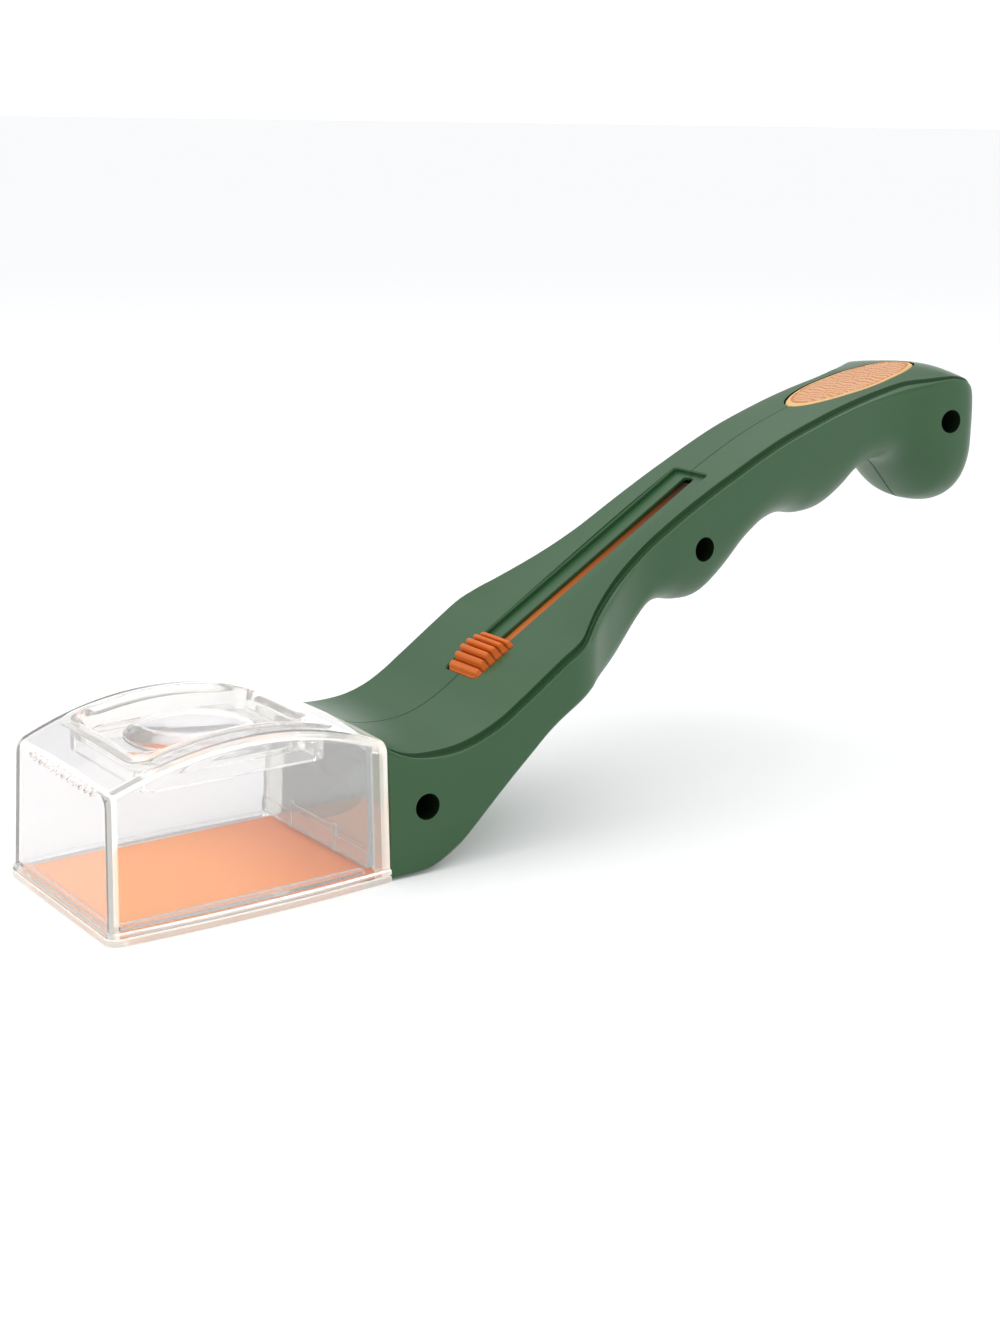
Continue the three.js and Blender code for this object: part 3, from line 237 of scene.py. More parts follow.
# Handle outline, each row a place along the handle and the value there
TOP = [
    (77.3, 36.2), (81, 34.5), (86, 33.3), (92.3, 32.7), (98.6, 33.0), (105, 34.7), (111.4, 37.8),
    (117.8, 41.9), (125, 46.2), (133, 51.0), (141, 55.8), (149, 60.6), (157, 65.4), (165.7, 70.6),
    (174.3, 75.8), (183.3, 81.2), (192, 86.3), (197.9, 89.8), (208.5, 95.3), (220, 100.5),
    (235.4, 105.8), (247, 109.0), (259.3, 111.6), (268, 113.5), (276, 114.9), (282, 115.5),
    (288, 115.3), (292, 114.0), (295, 111.4), (298, 106.0), (300, 99.0),
]
BOTTOM = [
    (77.3, 0), (86, 0.05), (90, 0.3), (94, 1.7), (99.4, 4.7), (106.6, 11.0), (113.6, 17.3),
    (120, 22.8), (126.5, 28.4), (133.4, 32.6), (143.5, 36.6), (150, 38.2), (155, 40.2), (160, 43.3),
    (165, 47.6), (169.6, 52.1), (173, 54.3), (176.6, 55.2), (181.5, 55.2), (187.3, 54.2),
    (193.1, 54.6), (199.7, 59.4), (206.1, 66.1), (210, 69.4), (214.2, 72.3), (218.5, 74.1),
    (222.2, 75.0), (226, 75.3), (229.8, 75.0), (233.7, 74.4), (239.9, 75.2), (246, 78.8),
    (250.4, 82.8), (254.2, 85.2), (257.5, 86.7), (263, 88.0), (267, 87.7), (270.4, 85.9),
    (275, 81.3), (278.8, 77.3), (281.9, 74.6), (286, 73.3), (290, 73.1), (294, 74.6),
    (297, 78.8), (299, 86.0), (300, 95.0),
]
BAND = [
    (77.3, 25.6), (80, 26.8), (84, 27.3), (92, 27.4), (105, 27.7), (114, 28.2), (131, 28.3),
    (137, 28.2), (141, 26.0), (145, 23.3), (149, 21.1), (153, 19.2), (157, 17.6), (161, 16.4),
    (165, 15.5), (170, 14.7), (178, 14.3), (190, 14.1), (204, 14.1), (228, 14.0), (254, 13.9),
    (261, 14.2), (266, 14.9), (270, 16.1), (274, 17.9), (278, 19.7), (282, 20.7), (286, 20.8),
    (289, 20.2), (291.5, 18.9), (294, 16.6), (296, 13.6), (298, 9.4), (299.2, 6.0), (300, 3.0),
]
SIDE = [
    (77.3, 28.6), (92, 29.4), (108, 30.0), (128, 30.4), (136, 30.3), (141, 28.9), (145, 26.4),
    (149, 24.0), (153, 22.0), (157, 20.2), (161, 18.7), (166, 17.4), (172, 16.8), (180, 16.8),
    (195, 16.5), (215, 16.4), (236, 16.3), (252, 16.2), (260, 16.7), (266, 17.7), (270, 18.8),
    (275, 20.4), (280, 21.5), (284, 22.1), (288, 22.0), (290.5, 21.1), (292.5, 19.7), (294.5, 17.6),
    (296, 15.3), (297.5, 12.4), (298.8, 8.8), (300, 4.0),
]
DROP = [
    (77.3, 1.3), (84, 1.2), (90, 0.7), (97, 0.3), (105, 0.1), (118, 0.1), (125, -0.4),
    (131, -0.8), (137, -1.0), (143, -1.7), (153, -1.95), (165, -1.8), (174, -1.6), (183, -1.2),
    (192, -0.6), (199, 0.1), (212, 0.6), (228, 0.85), (245, 0.8), (256, 0.6), (266, 0.65),
    (270, 0.95), (274, 1.3), (282, 1.7), (287, 2.7), (290, 3.9), (293, 4.8), (297, 4.5), (300, 2.5),
]
SIDE_HEIGHT_SHARE = [
    (77.3, 0.08), (92, 0.14), (111, 0.26), (136, 0.36), (160, 0.45), (177.5, 0.5), (300, 0.5),
]
BELLY = [
    (77.3, 11), (86, 9), (92, 6), (99, 4.5), (111, 3.6), (126, 3.1), (137, 2.8), (148, 2.6),
    (156, 2.5), (166, 2.2), (177, 2.3), (300, 2.2),
]
CREASE_SHARE = [(77.3, 0.25), (95, 1), (246.5, 1), (271, 0.7), (286, 0.45), (292, 0.25), (300, 0.1)]


# Smooth value of a table at a place
def value_at(table, place):
    if place <= table[0][0]:
        return table[0][1]
    if place >= table[-1][0]:
        return table[-1][1]
    i = 0
    while table[i + 1][0] < place:
        i += 1

    def slope(k):
        a, b = table[max(k - 1, 0)], table[min(k + 1, len(table) - 1)]
        return (b[1] - a[1]) / (b[0] - a[0])

    (x0, v0), (x1, v1) = table[i], table[i + 1]
    span = x1 - x0
    s = (place - x0) / span
    start = (2 * s**3 - 3 * s**2 + 1) * v0 + (s**3 - 2 * s**2 + s) * span * slope(i)
    return start + (3 * s**2 - 2 * s**3) * v1 + (s**3 - s**2) * span * slope(i + 1)


# Mesh making
def mesh_object(name, points, faces):
    mesh = bpy.data.meshes.new(name)
    mesh.from_pydata([((x - CENTRE_X) * MM, y * MM, z * MM) for x, y, z in points], [], faces)
    mesh.validate()
    made = bmesh.new()
    made.from_mesh(mesh)
    bmesh.ops.remove_doubles(made, verts=made.verts, dist=WELD_DISTANCE)
    bmesh.ops.recalc_face_normals(made, faces=made.faces)
    made.to_mesh(mesh)
    made.free()
    piece = bpy.data.objects.new(name, mesh)
    bpy.context.scene.collection.objects.link(piece)
    return piece


def loft(name, rings, joined=False):
    count = len(rings[0])
    points = [point for ring in rings for point in ring]
    faces = []
    for r in range(len(rings) if joined else len(rings) - 1):
        here, there = r * count, ((r + 1) % len(rings)) * count
        for i in range(count):
            j = (i + 1) % count
            faces.append((here + i, here + j, there + j, there + i))
    if not joined:
        faces.append(tuple(range(count))[::-1])
        faces.append(tuple(range(len(points) - count, len(points))))
    return mesh_object(name, points, faces)


def block(low, high):
    (x0, y0, z0), (x1, y1, z1) = low, high
    return loft("block", [[(x, y0, z0), (x, y1, z0), (x, y1, z1), (x, y0, z1)] for x in (x0, x1)])


def full_turn(steps):
    return [FULL_TURN * i / steps for i in range(steps)]


def rod_across(diameter, x, z, from_y, to_y):
    radius = diameter / 2
    circle = [(x + radius * math.cos(t), z + radius * math.sin(t)) for t in full_turn(RECESS_STEPS)]
    return loft("rod", [[(px, y, pz) for px, pz in circle] for y in (from_y, to_y)])


def rounded_outline(from_x, to_x, half_width, radius, arc=10, straight=1):
    corners = [(to_x - radius, half_width - radius, 0), (from_x + radius, half_width - radius, 1),
               (from_x + radius, radius - half_width, 2), (to_x - radius, radius - half_width, 3)]
    points = []
    for k, (cx, cy, quarter) in enumerate(corners):
        for i in range(arc + 1):
            turn = QUARTER_TURN * (quarter + i / arc)
            points.append((cx + radius * math.cos(turn), cy + radius * math.sin(turn)))
        nx, ny, quarter = corners[(k + 1) % 4]
        turn = QUARTER_TURN * quarter
        goal = (nx + radius * math.cos(turn), ny + radius * math.sin(turn))
        last = points[-1]
        for i in range(1, straight):
            share = i / straight
            points.append(tuple(a + (b - a) * share for a, b in zip(last, goal)))
    return points


def stack(name, levels):
    return loft(name, [[(x, y, z) for x, y in outline] for outline, z in levels])


def combine(base, tool, operation):
    modifier = base.modifiers.new("shape", "BOOLEAN")
    modifier.operation = operation
    modifier.solver = "MANIFOLD"
    modifier.object = tool
    graph = bpy.context.evaluated_depsgraph_get()
    mesh = bpy.data.meshes.new_from_object(base.evaluated_get(graph))
    base.modifiers.clear()
    old = base.data
    base.data = mesh
    bpy.data.meshes.remove(old)
    tool_mesh = tool.data
    bpy.data.objects.remove(tool)
    bpy.data.meshes.remove(tool_mesh)
    return base


def cut(base, *tools):
    for tool in tools:
        combine(base, tool, "DIFFERENCE")
    return base


def join(base, *tools):
    for tool in tools:
        combine(base, tool, "UNION")
    return base


def keep(base, *tools):
    for tool in tools:
        combine(base, tool, "INTERSECT")
    return base


def finish_piece(piece, name, material, body, nodes, sharp=SHARP_ANGLE):
    piece.name = name
    piece.data.name = name
    piece.data.materials.clear()
    piece.data.materials.append(material)
    piece.data.polygons.foreach_set("use_smooth", [True] * len(piece.data.polygons))
    piece.data.set_sharp_from_angle(angle=math.radians(sharp))
    weighted = piece.modifiers.new("even shading", "WEIGHTED_NORMAL")
    weighted.keep_sharp = True
    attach(piece, body)
    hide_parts(*nodes)


# Capsule form
def roof_edge(x):
    across = 2 * x / CAPSULE_LENGTH - 1
    return WALL_HEIGHT + ROOF_RISE * (1 - across * across)


def capsule_half_width(x):
    across = 2 * x / CAPSULE_LENGTH - 1
    return CAPSULE_WIDTH / 2 + SIDE_BOW * (1 - across * across)


def roof_height(x, y):
    flat = capsule_half_width(x) - SIDE_LEAN - ROOF_FILLET
    share = min(abs(y) / flat, 1)
    return roof_edge(x) + ROOF_CROWN * (1 - share * share)


def corner_cut(radius, into):
    reach = max(radius - into, 0)
    return radius - math.sqrt(max(radius * radius - reach * reach, 0))


def capsule_ring(x, inset, floor_z):
    radius = max(CORNER_RADIUS - inset, LEAST_RADIUS)
    base = capsule_half_width(x) - inset - corner_cut(radius, x - inset)
    front_radius = max(FRONT_EDGE_RADIUS - inset, LEAST_EDGE_RADIUS)
    edge = roof_edge(x) - inset - corner_cut(front_radius, x - inset)
    fillet = max(ROOF_FILLET - inset, LEAST_RADIUS)
    flat = base - SIDE_LEAN - fillet
    half = []
    for i in range(ARC_STEPS + 1):
        share = i / ARC_STEPS
        half.append((flat * share, edge + ROOF_CROWN * (1 - share * share)))
    for i in range(1, ARC_STEPS + 1):
        turn = QUARTER_TURN * i / ARC_STEPS
        half.append((flat + fillet * math.sin(turn), edge - fillet * (1 - math.cos(turn))))
    half += [(base, 0), (base, floor_z)]
    ring = half + [(-y, z) for y, z in reversed(half)][:-1]
    lean = FRONT_LEAN * (1 - x / CAPSULE_LENGTH)
    return [(x + max(lean * z / WALL_HEIGHT, 0), y, z) for y, z in ring]


def capsule_form(inset, floor_z, to_x=CAPSULE_LENGTH):
    turns = [QUARTER_TURN * i / ARC_STEPS for i in range(ARC_STEPS + 1)]
    places = [inset + CORNER_RADIUS * (1 - math.cos(turn)) for turn in turns]
    start = places[-1]
    places += [start + (CAPSULE_LENGTH - start) * i / LENGTH_STEPS for i in range(1, LENGTH_STEPS + 1)]
    rings = [capsule_ring(x, inset, floor_z) for x in places]
    if to_x > CAPSULE_LENGTH:
        rings.append([(to_x, y, z) for _, y, z in rings[-1]])
    return loft("capsule form", rings)


def footprint(grow):
    front = -grow
    outline = []
    radius = CORNER_RADIUS + grow
    for i in range(ARC_STEPS + 1):
        turn = QUARTER_TURN * i / ARC_STEPS
        x = front + radius * (1 - math.cos(turn))
        outline.append((x, capsule_half_width(max(x, 0)) + grow - radius * (1 - math.sin(turn))))
    for i in range(1, SIDE_STEPS + 1):
        x = front + radius + (CAPSULE_LENGTH - front - radius) * i / SIDE_STEPS
        outline.append((x, capsule_half_width(x) + grow))
    mirrored = [(x, -y) for x, y in reversed(outline)]
    return (mirrored + outline)[::-1]


def window_outline(grow, rear_share=0.0, radius=None):
    return rounded_outline(
        WINDOW_FRONT - grow,
        WINDOW_REAR + grow + FRAME_REAR_EXTRA * rear_share,
        WINDOW_HALF_WIDTH + grow,
        WINDOW_RADIUS + grow if radius is None else radius,
        straight=WINDOW_STEPS,
    )


# Handle form
def half_section(x, inset=0.0, seam_y=SEAM / 2):
    top, bottom = value_at(TOP, x), value_at(BOTTOM, x)
    band, side = value_at(BAND, x), value_at(SIDE, x)
    drop, crease = value_at(DROP, x), value_at(CREASE_SHARE, x)
    side_z = bottom + (top - bottom) * value_at(SIDE_HEIGHT_SHARE, x)
    power = 2 / value_at(BELLY, x)
    radius = EDGE_RADIUS * crease
    band_z = top - drop
    groove = min(SEAM_GROOVE, band * SEAM_GROOVE_SHARE)
    points = [(0, top - groove)]
    for i in range(TOP_STEPS + 1):
        y = groove + (band - radius - groove) * i / TOP_STEPS
        points.append((y, top - drop * (y / band) ** 2))
    edge_z = points[-1][1]
    for i in range(1, EDGE_STEPS + 1):
        turn = math.radians(EDGE_TURN) * i / EDGE_STEPS
        points.append((band - radius + radius * math.sin(turn), edge_z - radius * (1 - math.cos(turn))))
    points += [(band + dy * crease, band_z + dz * crease) for dy, dz in CREASE]
    start_y, foot_z = points[-1]
    for i in range(1, SHOULDER_STEPS + 1):
        turn = QUARTER_TURN * (i / SHOULDER_STEPS) ** SHOULDER_SPREAD
        y = start_y + (side - start_y) * math.sin(turn)
        fall = (1 - min(math.sin(turn) ** 2, 1)) ** (1 / (2 + SHOULDER_SQUARENESS * crease))
        points.append((y, side_z + (foot_z - side_z) * (fall if i < SHOULDER_STEPS else 0)))
    for i in range(1, BELLY_STEPS + 1):
        turn = QUARTER_TURN * i / BELLY_STEPS
        y = side * math.cos(turn) ** power if i < BELLY_STEPS else 0
        points.append((y, side_z - (side_z - bottom) * math.sin(turn) ** power))
    groove = min(UNDER_GROOVE, side * UNDER_GROOVE_SHARE)
    points[-1] = (0, bottom + groove)
    points.insert(-1, (groove, bottom))
    middle = (top + bottom) / 2
    shrink_y = 1 - inset / side
    shrink_z = 1 - 2 * inset / (top - bottom)
    points = [(y * shrink_y, middle + (z - middle) * shrink_z) for y, z in points]
    return [(max(y, seam_y), z) for y, z in points]


def handle_places(from_x, to_x, pitch):
    places = [from_x]
    while places[-1] < to_x:
        near_end = max((LENGTH - places[-1]) * END_PITCH_SHARE, END_PITCH)
        places.append(min(places[-1] + min(pitch, near_end), to_x))
    return places


def handle_half(inset=0.0, seam_y=SEAM / 2, from_x=HANDLE_FRONT, to_x=LENGTH, pitch=HANDLE_PITCH,
                behind=0.0):
    rings = []
    for x in handle_places(from_x, to_x, pitch):
        within = min(max(x, HANDLE_FRONT), LENGTH)
        ring = [(x, y, z) for y, z in half_section(within, inset, seam_y)]
        if behind:
            ring += [(x, -behind, ring[-1][2]), (x, -behind, ring[0][2])]
        rings.append(ring)
    return loft("handle half", rings)


# The slot's own frame: along the slot, across, and out of the handle's top
SLOT_MATRIX = (
    Matrix.Translation(((SLOT_FRONT[0] - CENTRE_X) * MM, 0, SLOT_FRONT[1] * MM))
    @ Matrix.Rotation(-SLOT_ANGLE, 4, "Y")
    @ Matrix.Translation((CENTRE_X * MM, 0, 0))
)


def in_slot_frame(piece):
    piece.data.transform(SLOT_MATRIX)
    return piece


def slot_stack(levels, from_s, to_s, half_width, radius):
    outlines = []
    for grow, n in levels:
        outline = rounded_outline(from_s - grow, to_s + grow, half_width + grow, radius + grow,
                                  SLOT_ARC_STEPS)
        outlines.append((outline, n))
    return in_slot_frame(stack("slot block", outlines))


def pad_cut_outline():
    long, wide = PAD_HALF_LENGTH + PAD_GAP, PAD_HALF_WIDTH + PAD_GAP
    return [(PAD_MIDDLE + long * math.cos(t), wide * math.sin(t)) for t in full_turn(PAD_CUT_STEPS)]


# Node trees
def new_node(tree, kind, **values):
    node = tree.nodes.new(kind)
    for name, value in values.items():
        setattr(node, name, value)
    return node


def set_inputs(node, values):
    for name, value in values.items():
        node.inputs[name].default_value = value


def maths(tree, operation, *values):
    node = new_node(tree, "ShaderNodeMath", operation=operation)
    for socket, value in zip(node.inputs, values):
        if isinstance(value, float):
            socket.default_value = value
        else:
            tree.links.new(value, socket)
    return node.outputs[0]


# Fine grain as height, broad unevenness of the colour and smudges that change the roughness
def moulded_finish_group():
    tree = bpy.data.node_groups.new("moulded finish", "ShaderNodeTree")
    inputs = [("Colour", "NodeSocketColor", (1, 1, 1, 1)), ("Roughness", "NodeSocketFloat", 0.4),
              ("Grain Size", "NodeSocketFloat", 0.3), ("Unevenness", "NodeSocketFloat", 0.1),
              ("Smudges", "NodeSocketFloat", 0.05)]
    for name, kind, value in inputs:
        tree.interface.new_socket(name, in_out="INPUT", socket_type=kind).default_value = value
    for name, kind in [("Colour", "NodeSocketColor"), ("Roughness", "NodeSocketFloat"),
                       ("Height", "NodeSocketFloat")]:
        tree.interface.new_socket(name, in_out="OUTPUT", socket_type=kind)
    links = tree.links
    source = new_node(tree, "NodeGroupInput").outputs
    result = new_node(tree, "NodeGroupOutput").inputs
    place = new_node(tree, "ShaderNodeTexCoord").outputs["Object"]

    def noise(**values):
        node = new_node(tree, "ShaderNodeTexNoise")
        set_inputs(node, values)
        links.new(place, node.inputs["Vector"])
        return node

    grain = noise(Detail=3.0)
    links.new(maths(tree, "DIVIDE", 1 / MM, source["Grain Size"]), grain.inputs["Scale"])
    broad = noise(Scale=26.0, Detail=4.0).outputs["Fac"]
    fine = noise(Scale=240.0, Detail=5.0).outputs["Fac"]
    uneven = maths(tree, "MULTIPLY", maths(tree, "SUBTRACT", broad, 0.5), source["Unevenness"])
    tint = new_node(tree, "ShaderNodeVectorMath", operation="SCALE")
    links.new(source["Colour"], tint.inputs[0])
    links.new(maths(tree, "ADD", uneven, 1.0), tint.inputs["Scale"])
    links.new(tint.outputs[0], result["Colour"])
    smudged = maths(tree, "MULTIPLY_ADD", fine, source["Smudges"], source["Roughness"])
    links.new(smudged, result["Roughness"])
    links.new(grain.outputs["Fac"], result["Height"])
    return tree


MOULDED_FINISH = moulded_finish_group()
BUMP_STRENGTH = 0.6


def plastic(name, colour, roughness, grain_size=0.35, unevenness=0.12, smudges=0.06, grain_depth=0.02,
            **shader_values):
    material = bpy.data.materials.new(name)
    material.use_nodes = True
    tree = material.node_tree
    shader = tree.nodes["Principled BSDF"]
    finish = new_node(tree, "ShaderNodeGroup", node_tree=MOULDED_FINISH)
    set_inputs(finish, {"Colour": (*colour, 1), "Roughness": roughness, "Grain Size": grain_size,
                        "Unevenness": unevenness, "Smudges": smudges})
    bump = new_node(tree, "ShaderNodeBump")
    set_inputs(bump, {"Strength": BUMP_STRENGTH, "Distance": grain_depth * MM})
    tree.links.new(finish.outputs["Colour"], shader.inputs["Base Color"])
    tree.links.new(finish.outputs["Roughness"], shader.inputs["Roughness"])
    tree.links.new(finish.outputs["Height"], bump.inputs["Height"])
    tree.links.new(bump.outputs["Normal"], shader.inputs["Normal"])
    set_inputs(shader, {socket.replace("_", " "): value for socket, value in shader_values.items()})
    return material


# Clear plastic lets light through to the shadows, and has a painted glow: a little light of its own that
# brightens it
PAINTED_GLOW_COLOUR = (1, 0.955, 0.87, 1)
SHADOW_TINT = (0.985, 0.985, 0.98, 1)


def clear_plastic(name, colour, roughness, ior, clearness, glow):
    material = plastic(name, colour, roughness, unevenness=0.02, smudges=0.03, grain_depth=0.003,
                       Transmission_Weight=clearness, IOR=ior, Emission_Color=PAINTED_GLOW_COLOUR,
                       Emission_Strength=glow)
    tree = material.node_tree
    path = new_node(tree, "ShaderNodeLightPath")
    through = new_node(tree, "ShaderNodeBsdfTransparent")
    set_inputs(through, {"Color": SHADOW_TINT})
    mix = new_node(tree, "ShaderNodeMixShader")
    tree.links.new(path.outputs["Is Shadow Ray"], mix.inputs[0])
    tree.links.new(tree.nodes["Principled BSDF"].outputs[0], mix.inputs[1])
    tree.links.new(through.outputs[0], mix.inputs[2])
    tree.links.new(mix.outputs[0], tree.nodes["Material Output"].inputs["Surface"])
    return material


# Each clear plastic has a colour, roughness, index of refraction, clearness and strength of painted glow
CLEAR = clear_plastic("clear plastic", (0.86, 0.86, 0.87), 0.012, 1.4, 0.95, 0.02)
# The edge plastic is creamier and has a stronger painted glow, which paints light onto the rounded edges
EDGE_GLOW_CLEAR = clear_plastic("clear plastic of the edges with painted glow", (0.96, 0.945, 0.91), 0.03, 1.4, 0.72, 0.09)
FRAME_CLEAR = clear_plastic("clear plastic of the lens frame", (0.93, 0.93, 0.92), 0.02, 1.4, 0.9, 0.035)
RIM_CLEAR = clear_plastic("clear plastic of the rim", (0.95, 0.93, 0.88), 0.03, 1.45, 0.8, 0.06)
COLLAR_CLEAR = clear_plastic("clear plastic of the collar", (0.95, 0.93, 0.87), 0.04, 1.45, 0.66, 0.09)
PLATE_CLEAR = clear_plastic("clear plastic of the plate", (0.8, 0.85, 0.86), 0.03, 1.5, 0.88, 0.02)
LENS_CLEAR = clear_plastic("lens plastic", (0.92, 0.92, 0.93), 0.005, 1.42, 0.96, 0.02)
GREEN = plastic("green moulded plastic", (0.024, 0.082, 0.028), 0.33, Specular_IOR_Level=0.42)
# Darker copies of the green that paint shade into the crease and into the recesses
CREASE_SHADE_GREEN = plastic("green plastic with painted crease shade", (0.014, 0.054, 0.016), 0.42,
                       Specular_IOR_Level=0.25)
RECESS = plastic("green plastic with painted deep shade", (0.003, 0.009, 0.003), 0.7, Specular_IOR_Level=0.1)
ORANGE = plastic("orange moulded plastic", (0.6, 0.128, 0.012), 0.42, Specular_IOR_Level=0.3)
# A darker copy of the orange that paints shade between the ribs of the thumb slide
ORANGE_GROOVE_SHADE = plastic("orange plastic with painted shade between the ribs", (0.34, 0.052, 0.004), 0.5,
                      Specular_IOR_Level=0.2)
SHEET = plastic("orange sheet", (0.97, 0.32, 0.045), 0.42, unevenness=0.06, grain_depth=0.004)
TAIL = plastic("orange sheet inside the handle with painted shade", (1, 1, 1), 0.5, unevenness=0.1, grain_depth=0.004,
               Specular_IOR_Level=0.15)
PAD = plastic("orange pad", (0.6, 0.33, 0.185), 0.5, unevenness=0.15, grain_depth=0.03)
# A darker copy of the pad's orange that paints shade into its troughs and its groove
PAD_SHADE = plastic("orange pad with painted shade between the ridges", (0.48, 0.185, 0.06), 0.55, unevenness=0.15,
                   grain_depth=0.03)
PAD_RIM = plastic("tan rim of the pad", (0.7, 0.42, 0.16), 0.45, unevenness=0.1)
STEEL = plastic("dark plated steel", (0.1, 0.105, 0.11), 0.32, Metallic=1.0)


# A tint of painted shade that changes along the object, its stops as shares of the way from one place to
# the other
def painted_shade_along(material, from_x, to_x, stops):
    tree = material.node_tree
    shader = tree.nodes["Principled BSDF"]
    place = new_node(tree, "ShaderNodeTexCoord")
    split = new_node(tree, "ShaderNodeSeparateXYZ")
    share = new_node(tree, "ShaderNodeMapRange")
    set_inputs(share, {"From Min": (from_x - CENTRE_X) * MM, "From Max": (to_x - CENTRE_X) * MM})
    ramp = new_node(tree, "ShaderNodeValToRGB")
    while len(ramp.color_ramp.elements) < len(stops):
        ramp.color_ramp.elements.new(0.5)
    for element, (position, colour) in zip(ramp.color_ramp.elements, stops):
        element.position = position
        element.color = (*colour, 1)
    tint = new_node(tree, "ShaderNodeMix", data_type="RGBA", blend_type="MULTIPLY")
    tint.inputs["Factor"].default_value = 1.0
    tree.links.new(place.outputs["Object"], split.inputs[0])
    tree.links.new(split.outputs["X"], share.inputs["Value"])
    tree.links.new(share.outputs["Result"], ramp.inputs["Fac"])
    tree.links.new(shader.inputs["Base Color"].links[0].from_socket, tint.inputs["A"])
    tree.links.new(ramp.outputs["Color"], tint.inputs["B"])
    tree.links.new(tint.outputs["Result"], shader.inputs["Base Color"])


# The tail's orange comes from the first stop, and painted shade darkens it as it runs up under the slot;
# the door's sheet gets painted shade that deepens it toward the handle
TAIL_SHADE_STOPS = [(0, (0.6, 0.19, 0.05)), (0.45, (0.36, 0.095, 0.015)), (1, (0.03, 0.008, 0.003))]
SHEET_SHADE_STOPS = [(0, (1, 1, 1)), (0.5, (1, 0.94, 0.8)), (1, (1, 0.64, 0.1))]
painted_shade_along(TAIL, 118, 196, TAIL_SHADE_STOPS)
painted_shade_along(SHEET, 5, CAPSULE_LENGTH, SHEET_SHADE_STOPS)


# Capsule cover: walls and arched roof, the lip along its lower edge, the thick collar at the rear,
# the rails inside and the row of vent holes
def make_capsule_cover():
    cover = keep(capsule_form(0, 0), block((-FAR, -FAR, COVER_UNDER), (CAPSULE_LENGTH, FAR, FAR)))
    join(cover, stack("lip", [(footprint(grow), COVER_UNDER + rise) for grow, rise in COVER_LIP]))
    collar_front = CAPSULE_LENGTH - COLLAR_LENGTH
    past = CAPSULE_LENGTH + OVERRUN
    front_room = block((-FAR, -FAR, -FAR), (collar_front, FAR, FAR))
    rear_room = block((collar_front - 0.01, -FAR, -FAR), (past + OVERRUN, FAR, FAR))
    cut(cover, keep(capsule_form(WALL, -OVERRUN, past), front_room),
        keep(capsule_form(COLLAR_WALL, -OVERRUN, past), rear_room))
    rail_room = block((0, -FAR, RAIL_UNDER), (PLATE_FRONT - RAIL_REAR_GAP, FAR, RAIL_TOP))
    rails = keep(capsule_form(RAIL_IN_WALL, 0), rail_room)
    cut(rails, block((WALL + RAIL_FRONT_GAP, -RAIL_HALF_GAP, 0), (CAPSULE_LENGTH, RAIL_HALF_GAP, FAR)))
    join(cover, rails)
    opening = window_outline(FRAME_WALL + FIT, 1.0, radius=SKIRT_RADIUS + FIT)
    door_half = DOOR_HALF_WIDTH + FIT
    cut(cover, stack("opening", [(opening, FRAME_UNDER), (opening, FAR)]),
        block((WALL, -door_half, 0), (past, door_half, RAIL_UNDER)))
    z = WALL_HEIGHT - VENT_DROP
    for i in range(VENTS):
        y = (i - (VENTS - 1) / 2) * VENT_PITCH
        circle = [(y + VENT_RADIUS * math.cos(t), z + VENT_RADIUS * math.sin(t))
                  for t in full_turn(VENT_STEPS)]
        cut(cover, loft("vent", [[(x, *point) for point in circle] for x in VENT_CUT]))
    finish_piece(cover, "clear_cover", CLEAR, "catcher", ["capsule_cover"])
    cover.data.materials.append(COLLAR_CLEAR)
    cover.data.materials.append(EDGE_GLOW_CLEAR)
    # The collar's faces take the collar's plastic and faces on the rounded edges take the edge plastic;
    # both are creamier and carry a stronger painted glow
    for face in cover.data.polygons:
        along, across, up = (abs(part) for part in face.normal)
        rounded = sorted((along, across, up))[1] > EDGE_TILT
        if face.center.x / MM + CENTRE_X > collar_front + FIT:
            face.material_index = 1
        elif rounded and not (across < ROOF_ACROSS and up > ROOF_UP):
            face.material_index = 2


def make_base_frame():
    rim = stack("rim", [(footprint(grow), z) for grow, z in RIM_SECTION])
    opening = rounded_outline(RIM_OPENING_END, CAPSULE_LENGTH - RIM_OPENING_END, RAIL_HALF_GAP,
                              RIM_OPENING_RADIUS)
    cut(rim, stack("opening", [(opening, z) for z in RIM_CUT]))
    finish_piece(rim, "clear_rim", RIM_CLEAR, "catcher", ["base_frame"])


def make_back_plate():
    front, rear = PLATE_FRONT - SILL_DEPTH, PLATE_FRONT + SILL_OVERLAP

    def sill(from_x, from_y, to_y, height):
        return block((from_x, from_y, PLATE_UNDER), (rear, to_y, PLATE_UNDER + height))

    step = sill(front, -FAR, FAR, SILL_HEIGHT)
    join(step, sill(front, -SILL_MIDDLE_HALF, SILL_MIDDLE_HALF, SILL_MIDDLE_HEIGHT))
    for y in (SILL_RIB_PLACE, -SILL_RIB_PLACE):
        join(step, sill(front - SILL_RIB_DEPTH, y - SILL_RIB_HALF, y + SILL_RIB_HALF, SILL_RIB_HEIGHT))
    plate = join(block((PLATE_FRONT, -FAR, PLATE_UNDER), (PLATE_REAR, FAR, FAR)), step)
    keep(plate, capsule_form(WALL + FIT, -OVERRUN, CAPSULE_LENGTH + OVERRUN))
    finish_piece(plate, "clear_back_plate", PLATE_CLEAR, "catcher", ["back_plate"])


